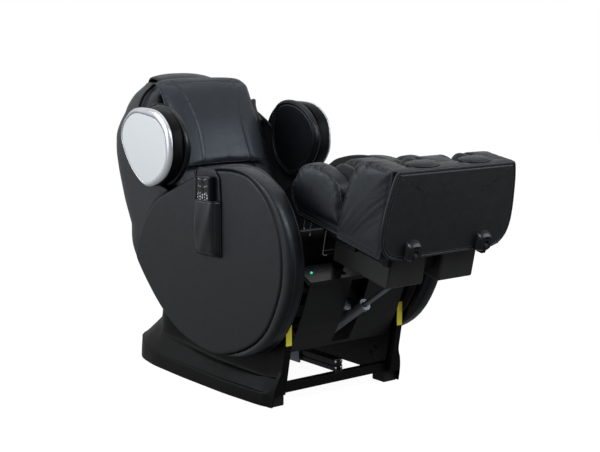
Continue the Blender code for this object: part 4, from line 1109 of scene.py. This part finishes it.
def sole_plate():
    outline = [(0.262, 0.4275), (0.270, 0.4200), (0.282, 0.375), (0.292, 0.310), (0.298, 0.250), (0.297, 0.200),
               (0.284, 0.160), (0.258, 0.133), (0.220, 0.1195), (0.195, 0.118)]
    outline = smooth(outline, 6)
    outline += [(-x, z) for x, z in reversed(outline)]
    outline = relaxed(resampled(outline, 420), 4)
    pad = Pad(outline, 0.0060, 0.0040, ((0.0120, 0.0020),), 420)
    rear = Pad(outline, 0.0030, 0.0, (), 420)
    rings = [[(x, -0.4015 + pad.drop(d, (x, z)), z) for x, z in pad.ring(d)] for d in pad.distances()[::-1]]
    rings += [[(x, -0.3855 - rear.drop(d, (x, z)), z) for x, z in rear.ring(d)] for d in rear.distances()]
    made = skin("sole_plate_leather", rings, LEATHER_SOLE_LIT, "footrest", LEG)
    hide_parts("sole_plate")
    rows = []
    for distance in (0.0075, 0.0165):
        ring = pad.ring(distance)
        rows.append([Vector((x, -0.4021 + pad.drop(distance, (x, z)), z)) for x, z in np.vstack([ring, ring[:1]])])
    stitches("sole_plate_stitches", rows, "footrest", space=LEG)
    for side, hand in HANDS:
        housing(side, hand)


def housing(side, hand):
    """A glossy domed housing over each roller, slotted at its top."""
    x, low, high = side * 0.163, 0.1185, 0.1900
    rings = []
    for k in range(15):
        t = k / 14
        lean = math.sin(t * math.pi / 2)
        width, height = 0.0345 * (1 - 0.26 * lean ** 2.5), (high - low) / 2 * (1 - 0.34 * lean ** 2.2)
        y = -0.3990 - 0.0262 * math.sin(t * math.pi / 2)
        if k == 14:
            width, height = width * 0.86, height * 0.86
        middle = (low + high) / 2 - 0.004 * lean
        rings.append([(across, y, up) for across, up in squarish((x, middle), (width, height), 0.62, 40)])
    made = skin(f"caster_housing_{hand}", rings, GLOSS, "footrest", LEG)
    cut(made, (x - 0.0092, -0.45, 0.100), (x + 0.0092, -0.4003, 0.1575), LEG)
    for k in (-1, 0, 1):
        cut(made, (x + k * 0.0075 - 0.0022, -0.45, 0.1655), (x + k * 0.0075 + 0.0022, -0.4190, 0.1725), LEG)
    made.data.materials.clear()
    made.data.materials.append(GLOSS)
    made.data.shade_smooth()
    made.data.set_sharp_from_angle(angle=math.radians(40))


# Base skirt.

ROUTE = [(0.0, (0.309, -0.205)), (0.06, (0.322, -0.150)), (0.25, (0.337, 0.050)), (0.45, (0.340, 0.330)),
         (0.60, (0.334, 0.560)), (0.72, (0.310, 0.690)), (0.82, (0.255, 0.785)), (0.91, (0.150, 0.832)),
         (1.0, (0.0, 0.845)), (1.09, (-0.150, 0.832)), (1.18, (-0.255, 0.785))]
WALL = [(0, 0.050), (0.3, 0.050), (0.6, 0.060), (0.8, 0.082), (1, 0.090), (1.2, 0.082)]
TOP = [(0, 0.33), (0.03, 0.33), (0.16, 0.20), (0.35, 0.185), (0.55, 0.215), (0.75, 0.245), (1, 0.25), (1.2, 0.25)]
DEEP = [(0, 0.033), (0.06, 0.046), (0.25, 0.061), (0.60, 0.058), (0.75, 0.12), (0.88, 0.18), (1, 0.20), (1.12, 0.18)]
LOW = [(0, 0.118), (0.06, 0.100), (0.16, 0.092), (0.35, 0.092), (0.5, 0.110), (0.8, 0.140), (1, 0.145), (1.2, 0.14)]


def route_at(t):
    xs, ys = [(k, p[0]) for k, p in ROUTE], [(k, p[1]) for k, p in ROUTE]
    return np.array([soft_at(xs, t, 0.035), soft_at(ys, t, 0.035)])


def skirt_section(t):
    x, y = route_at(t)
    run = route_at(t + 0.02) - route_at(max(t - 0.02, -0.0))
    run /= np.linalg.norm(run)
    inward = (-run[1], run[0])
    wall, top, deep, low = (soft_at(table, t) for table in (WALL, TOP, DEEP, LOW))
    rise = soft_at([(0, 0.0), (0.6, 0.0), (0.8, 0.6), (1.0, 1.0), (1.2, 1.0)], t)
    foot = 0.003
    mid = low + 0.020 + 0.035 * rise
    spots = [(0.0, foot), (0.002, foot + 0.5 * (wall - foot)), (0.006, wall), (0.014, wall + 0.006),
             ((0.70 - 0.38 * rise) * deep, low), ((0.92 - 0.34 * rise) * deep, mid),
             ((1 - 0.14 * rise) * deep, top)]
    found = [(x + inward[0] * d, y + inward[1] * d, z) for d, z in spots]
    stay = eased(min(max((t - 0.48) / 0.26, 0.0), 1.0))
    for index, x_in in ((-2, 0.2797), (-1, 0.2762)):
        px, py, pz = found[index]
        found[index] = (x_in + (px - x_in) * stay, py, pz)
    return found


def base_skirt():
    front = [(x, -0.217 - 0.20 * min(z, 0.23), z) for x, z in
             ((0.3090, 0.004), (0.3085, 0.030), (0.3065, 0.055), (0.3020, 0.083), (0.2940, 0.110), (0.2830, 0.140),
              (0.2790, 0.330))]
    front, first = np.array(smooth(front, 6)), np.array(smooth(skirt_section(0.06), 6))
    rings = []
    for k in range(14):
        t = k / 14
        blend = eased(t)
        ring = front * (1 - blend) + first * blend
        ring[:, 1] = front[:, 1] * (1 - t) + first[:, 1] * t
        rings.append([tuple(spot) for spot in ring])
    rings += [smooth(skirt_section(0.06 + 0.94 * k / 92), 6) for k in range(93)]
    rings = [[(max(x, 0.0), y, z) for x, y, z in ring] for ring in rings]
    rings[-1] = [(0.0, y, z) for _, y, z in rings[-1]]
    count = len(rings[0])
    points = [p for ring in rings for p in ring]
    faces = []
    for r in range(len(rings) - 1):
        for i in range(count - 1):
            faces.append((r * count + i, r * count + i + 1, (r + 1) * count + i + 1, (r + 1) * count + i))
    made = piece("base_skirt_shell", points, faces, SKIRT, "base")
    made.modifiers.new("Mirror", "MIRROR").merge_threshold = 0.0001
    solid = made.modifiers.new("Solidify", "SOLIDIFY")
    solid.thickness = 0.004
    solid.offset = -1.0
    baked(made)
    cut(made, (0.06, 0.70, 0.018), (0.14, 0.90, 0.062))
    made.data.shade_smooth()
    made.data.set_sharp_from_angle(angle=math.radians(50))
    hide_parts("base_skirt")
    return made


# Pouch and handset.

def pouch():
    low, mouth, back = 0.530, 0.735, 0.852
    y0, y1 = 0.020, 0.175
    face, wall = 0.3965, 0.3608

    def outline(z):
        """How far the pouch stands out at a height: full at the foot, drawn in at the mouth."""
        t = (z - low) / (mouth - low)
        return wall + 0.006 + (face - wall - 0.006) * (0.78 + 0.22 * math.sin(math.pi * min(max(t, 0), 1) * 0.8 + 0.4))

    rings = []
    levels = spaced(low, mouth, 26)
    for k, z in enumerate(levels):
        draw = 0.010 * max(0.0, 1 - k / 3) ** 2
        out = outline(z) - draw
        sag = 0.004 * math.sin(math.pi * k / 26)
        ring = [(-wall, y0 + draw * 0.4, z), (-(wall + 0.004), y0 + draw * 0.2, z)]
        for t in spaced(0, 1, 16):
            bow = (1 - abs(2 * t - 1) ** 5)
            x = wall + 0.006 + (out - wall - 0.006) * bow + 0.0016 * math.sin(t * 13 + k * 0.25) * bow
            ring.append((-x, y0 + draw * 0.2 + (y1 - y0 - draw * 0.4) * t, z - sag * bow * 0.4))
        ring += [(-(wall + 0.004), y1 - draw * 0.2, z), (-wall, y1 - draw * 0.4, z)]
        rings.append(ring)
    count = len(rings[0])
    # The inside of the pocket follows the outside, a little thinner, down to a floor.
    inner = [[(x + (0.0030 if 1 < i < count - 2 else 0.0), min(max(y, y0 + 0.004), y1 - 0.004), z)
              for i, (x, y, z) in enumerate(ring)] for ring in rings[2:]]
    points = [p for ring in rings + inner[::-1] for p in ring]
    rows = len(rings) + len(inner)
    faces = skin_faces(rows, count)
    made = piece("remote_pouch_pocket", points, faces, PIPING, "seat")
    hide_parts("remote_pouch")
    # The backing: a tall strap that turns over the arm.
    backing = relaxed(resampled([(y0 - 0.004, 0.526), (y1 + 0.004, 0.526), (y1 + 0.005, 0.74), (y1 + 0.002, 0.838),
                                 (y1 - 0.02, back), (y0 + 0.03, back - 0.004), (y0 + 0.004, 0.822),
                                 (y0 - 0.004, 0.74)], 160), 3)
    slab("remote_pouch_backing", backing, 0.3603, 0.3640, PIPING, "seat", "black_leather", -1, 0.0012, 0.0, count=160)
    ring = [(-0.3640, y, z) for y, z in inset(backing, 0.0015)]
    tube("remote_pouch_piping", ring, 0.0026, PIPING, "seat", closed=True)
    tube("remote_pouch_lip", rings[-1][2:-2], 0.0019, PIPING, "seat")
    edges = []
    for y in (y0 + 0.010, y1 - 0.010):
        path = [(-0.40, y, z) for z in levels[2:]]
        edges.append(laid(made, path, aim=(1, 0, 0), lift=0.0005)[0])
    foot = [(-0.40, y, low + 0.013) for y in spaced(y0 + 0.010, y1 - 0.010, 20)]
    edges.append(laid(made, foot, aim=(1, 0, 0), lift=0.0005)[0])
    stitches("remote_pouch_stitches", edges, "seat", space=Matrix())


def handset_marks():
    """Small keys and printed dots on the handset, with no lettering."""
    points, faces = [], []
    rng = np.random.default_rng(7)
    for row in range(9):
        for column in range(5):
            y = 0.097 - 0.030 + 0.015 * column
            z = 0.7560 - 0.0105 * row + (0.003 if column % 2 else 0.0)
            if z < 0.655:
                continue
            size = 0.0018 + 0.0016 * rng.random()
            dot(points, faces, (-0.3892, y, z), size)
    for z in (0.8135, 0.7875, 0.7625):
        for y in (0.072, 0.083, 0.111, 0.122):
            dot(points, faces, (-0.3892, y, z + 0.002 * math.sin(y * 900)), 0.0018)
    piece("handset_print", points, faces, PRINT, "handset", soft=False)


DOT_DEPTH, DOT_SIDES = 0.0006, 10


def dot(points, faces, centre, radius):
    """Adds a thin disc facing outwards."""
    base, sides = len(points), DOT_SIDES
    for x in (centre[0], centre[0] - DOT_DEPTH):
        points += [(x, centre[1] + radius * math.cos(a), centre[2] + radius * math.sin(a)) for a in turns(sides)]
    faces.append(tuple(base + k for k in range(sides)))
    faces.append(tuple(base + sides + k for k in range(sides))[::-1])
    for k in range(sides):
        j = (k + 1) % sides
        faces.append((base + k, base + j, base + sides + j, base + sides + k))


# Small hardware.

def bolt(name, spot, way, body, radius, depth):
    """A hexagon-headed bolt on its washer."""
    way = Vector(way).normalized()
    up = way.orthogonal().normalized()
    across = way.cross(up)
    spot = Vector(spot)
    rings = []
    for height, size, sides in ((0.0, 1.45, 0), (0.18, 1.45, 0), (0.20, 1.0, 1), (0.85, 1.0, 1), (1.0, 0.86, 1)):
        ring = []
        for a in turns(24):
            flat = 1.0
            if sides:
                step = a % (math.pi / 3) - math.pi / 6
                flat = math.cos(math.pi / 6) / math.cos(step)
            ring.append(spot + way * depth * height + (up * math.cos(a) + across * math.sin(a)) * radius * size * flat)
        rings.append(ring)
    return skin(name, rings, BOLT, body, soft=False)


def hooks():
    """Bent wire hooks under the near side of the calf section."""
    for index, (x, y, low, hooked) in enumerate(((-0.230, 0.073, 0.071, 0), (-0.230, 0.037, 0.061, 0),
                                                 (-0.230, -0.048, 0.024, 1))):
        path = [(x, y, 0.1095), (x, y, 0.100), (x, y + 0.001, (0.100 + low) / 2), (x, y, low)]
        if hooked:
            path += [(x, y - 0.003, low - 0.006), (x, y - 0.012, low - 0.006), (x, y - 0.019, low)]
        else:
            path += [(x, y - 0.004, low - 0.002), (x, y - 0.005, low + 0.006)]
        tube(f"cover_hook_{index}", smooth(path, 5), 0.0013, BOLT, "legrest", LEG)


def labels():
    """A cover on each front post, with a blank yellow label."""
    for side, hand in HANDS:
        rings = []
        for z in (0.0470, 0.0600, 0.0850, 0.1100, 0.1400, 0.1900, 0.2300, 0.3435, 0.3450):
            face = -0.2178 - 0.20 * min(z, 0.23)
            out = value_at([(0.047, 0.3060), (0.083, 0.3010), (0.110, 0.2932), (0.140, 0.2822), (0.345, 0.2788)], z)
            draw = 0.0012 if z == 0.3450 else 0.0
            ring = [(0.2525 + draw, face + 0.018), (0.2525 + draw, face + 0.0015 + draw), (0.2540, face + draw),
                    (out - 0.0015, face + draw), (out - draw, face + 0.0015 + draw), (out - draw, face + 0.018)]
            rings.append([(side * x, y, z) for x, y in ring])
        skin(f"post_cover_{hand}", rings, STEEL, "base", soft=False)
        low, high = (0.2380, 0.3130) if side < 0 else (0.2370, 0.3290)
        shape = [(0.2535, low), (0.2792, low), (0.2792, high - (0.020 if side < 0 else 0.0)), (0.2535, high)]
        front, rear = -0.2652, -0.2632
        points = [(side * x, front, z) for x, z in shape] + [(side * x, rear, z) for x, z in shape]
        faces = [(0, 1, 2, 3), (7, 6, 5, 4)] + [(k, (k + 1) % 4, 4 + (k + 1) % 4, 4 + k) for k in range(4)]
        piece(f"post_label_{hand}", points, faces, LABEL, "base", soft=False)


def deck_shade_apron():
    """A dark sheet behind the deck that hides the works, put there as painted shade: it stands in for the deep shade
    between the deck and the leg rest.
    """
    rings = []
    for x in spaced(-0.2360, 0.2360, 40):
        wave = 0.0015 * math.sin(x * 60)
        rings.append([(x, -0.2620 + wave, 0.520), (x, -0.2595 + wave, 0.520), (x, -0.2325, 0.640), (x, -0.2350, 0.640)])
    skin("deck_shade_apron", rings, STEEL, "seat")


def hardware():
    for side, hand in HANDS:
        spot = (side * 0.0235, -0.600, 0.527)
        bolt(f"clevis_bolt_{hand}", spot, (side, 0, 0), "legrest", 0.0068, 0.006)
    for index, (x, z) in enumerate(((0.036, 0.082), (0.064, 0.082), (0.036, 0.108), (0.064, 0.108))):
        bolt(f"track_bolt_{index}", (x, -0.1603, z), (0, -1, 0), "base", 0.0042, 0.004)


# Carried-over CAD nodes.

FINISHES = {
    "base_frame": STEEL, "side_plate": STEEL, "foot_front": RUBBER, "foot_rear": RUBBER, "tilt_track": TRACK,
    "tilt_motor": ALLOY, "inlet_panel": PLASTIC, "seat_frame": STEEL, "front_deck": GLOSS, "kick_panel": PLASTIC,
    "indicator_lamp": LENS.material, "remote_body": GLOSS, "power_key": RUBBER, "pause_key": RUBBER,
    "back_frame": STEEL, "leg_frame": STEEL, "leg_box": BOX, "foot_carrier": STEEL, "tilt_slider": ALLOY,
    "tilt_link": STEEL, "power_switch": RUBBER, "massage_carriage": STEEL, "rocker_arm": ALLOY,
    "massage_roller": RUBBER, "leg_actuator_barrel": ALLOY, "leg_actuator_rod": ALLOY, "caster_wheel": RUBBER,
    "arc_roller": RUBBER, "transport_wheel": RUBBER,
}
BEVELS = {"leg_box": 0.004, "front_deck": 0.0012, "kick_panel": 0.0015, "side_plate": 0.0010, "base_frame": 0.0012,
          "tilt_track": 0.0006, "seat_frame": 0.0010, "remote_body": 0.0010, "foot_front": 0.0010}


def dress_nodes():
    """Gives each kept CAD node its finish, and a small bevel that catches the light."""
    for name, node in frame["nodes"].items():
        for start, finish in FINISHES.items():
            if name.startswith(start):
                if not node.material_slots:
                    node.data.materials.append(finish)
                for slot in node.material_slots:
                    slot.material = finish
        for start, width in BEVELS.items():
            if name.startswith(start) and not node.hide_render:
                node.modifiers.new("Weld", "WELD").merge_threshold = 0.00002
                bevel = node.modifiers.new("Bevel", "BEVEL")
                bevel.width = width
                bevel.segments = 2
                bevel.limit_method = "ANGLE"
                bevel.angle_limit = math.radians(40)
                bevel.harden_normals = True


# Stage.

def stage():
    mesh = bpy.data.meshes.new("floor")
    size = 9.0
    mesh.from_pydata([(-size, -size, 0), (size, -size, 0), (size, size, 0), (-size, size, 0)], [], [(0, 1, 2, 3)])
    floor = added("floor", mesh)
    pale = Shade("floor_pale", (0.12, 0.12, 0.12), 0.8, specular=0.0)
    pale.vary_colour(pale.noise(1.2, 3.0), 0.99, 1.01)
    pale.surface.inputs["Emission Color"].default_value = (1.0, 1.0, 1.0, 1.0)
    pale.surface.inputs["Emission Strength"].default_value = 0.96
    mesh.materials.append(pale.material)
    # The chair neither mirrors the floor nor is lit by it.
    floor.visible_glossy = floor.visible_diffuse = False
    world = bpy.data.worlds.new("studio")
    world.use_nodes = True
    tree = Nodes(world.node_tree)
    surround = tree.nodes["Background"]
    split = tree.nodes.new("ShaderNodeSeparateXYZ")
    tree.links.new(tree.nodes.new("ShaderNodeTexCoord").outputs["Generated"], split.inputs[0])
    # The studio's walls: dim in front, bright behind and overhead.
    depth = tree.mapped(split.outputs["Y"], 0.42, 0.95, -0.7, 0.7, interpolation_type="SMOOTHSTEP")
    height = tree.mapped(split.outputs["Z"], 0.28, 0.80, -0.6, 0.8, interpolation_type="SMOOTHSTEP")
    walls = tree.sums(depth, height, "MULTIPLY")
    seen = tree.nodes.new("ShaderNodeLightPath").outputs["Is Camera Ray"]
    total = tree.sums(walls, seen, "MAXIMUM")
    surround.inputs["Color"].default_value = (1.0, 1.0, 1.0, 1.0)
    tree.links.new(total, surround.inputs["Strength"])
    bpy.context.scene.world = world
    bpy.context.scene.view_settings.view_transform = "Standard"


def softbox(name, place, aim, size, power):
    data = bpy.data.lights.new(name, "AREA")
    data.shape = "RECTANGLE"
    data.size, data.size_y = size
    data.energy = power
    data.color = (0.90, 0.95, 1.0)
    made = added(name, data)
    made.location = place
    made.rotation_euler = (Vector(aim) - Vector(place)).to_track_quat("-Z", "Y").to_euler()


CAMERA_PLACE = (-2.910, -3.7606, 1.352)
CAMERA_TURN = (math.radians(81.13), 0.0, math.radians(-37.9))
CAMERA_LENS_MM, CAMERA_SENSOR_MM = 75.12, 36.0
SOFTBOXES = {  # place, aim, size in metres, power in watts
    "key": ((-1.6, -2.4, 2.9), (0, 0, 0.6), (2.2, 1.6), 62),
    "top": ((0.0, 0.3, 3.2), (0, 0, 0.5), (2.6, 2.0), 10),
    "back_left": ((-3.0, 2.2, 1.8), (0, 0.2, 0.6), (2.0, 2.4), 40),
    "front_right": ((2.6, -3.0, 2.3), (0, 0.3, 0.9), (3.0, 2.6), 70),
}


def camera_and_lights():
    data = bpy.data.cameras.new("camera")
    data.lens = CAMERA_LENS_MM
    data.sensor_width = CAMERA_SENSOR_MM
    made = added("camera", data)
    made.location = CAMERA_PLACE
    made.rotation_euler = CAMERA_TURN
    bpy.context.scene.camera = made
    for name, values in SOFTBOXES.items():
        softbox(name, *values)


camera_and_lights()
stage()
for side, hand in HANDS:
    side_panel(side, hand)
    arm_hoop(side, hand)
    wing(side, hand)
    cap(side, hand)
back_shell()
top_flap()
head_pad()
back_pad()
pillow()
seat_cushion()
waist_flap()
calf_section()
foot_section()
leg_lobes()
sole_plate()
base_skirt()
pouch()
handset_marks()
hooks()
labels()
deck_shade_apron()
hardware()
dress_nodes()
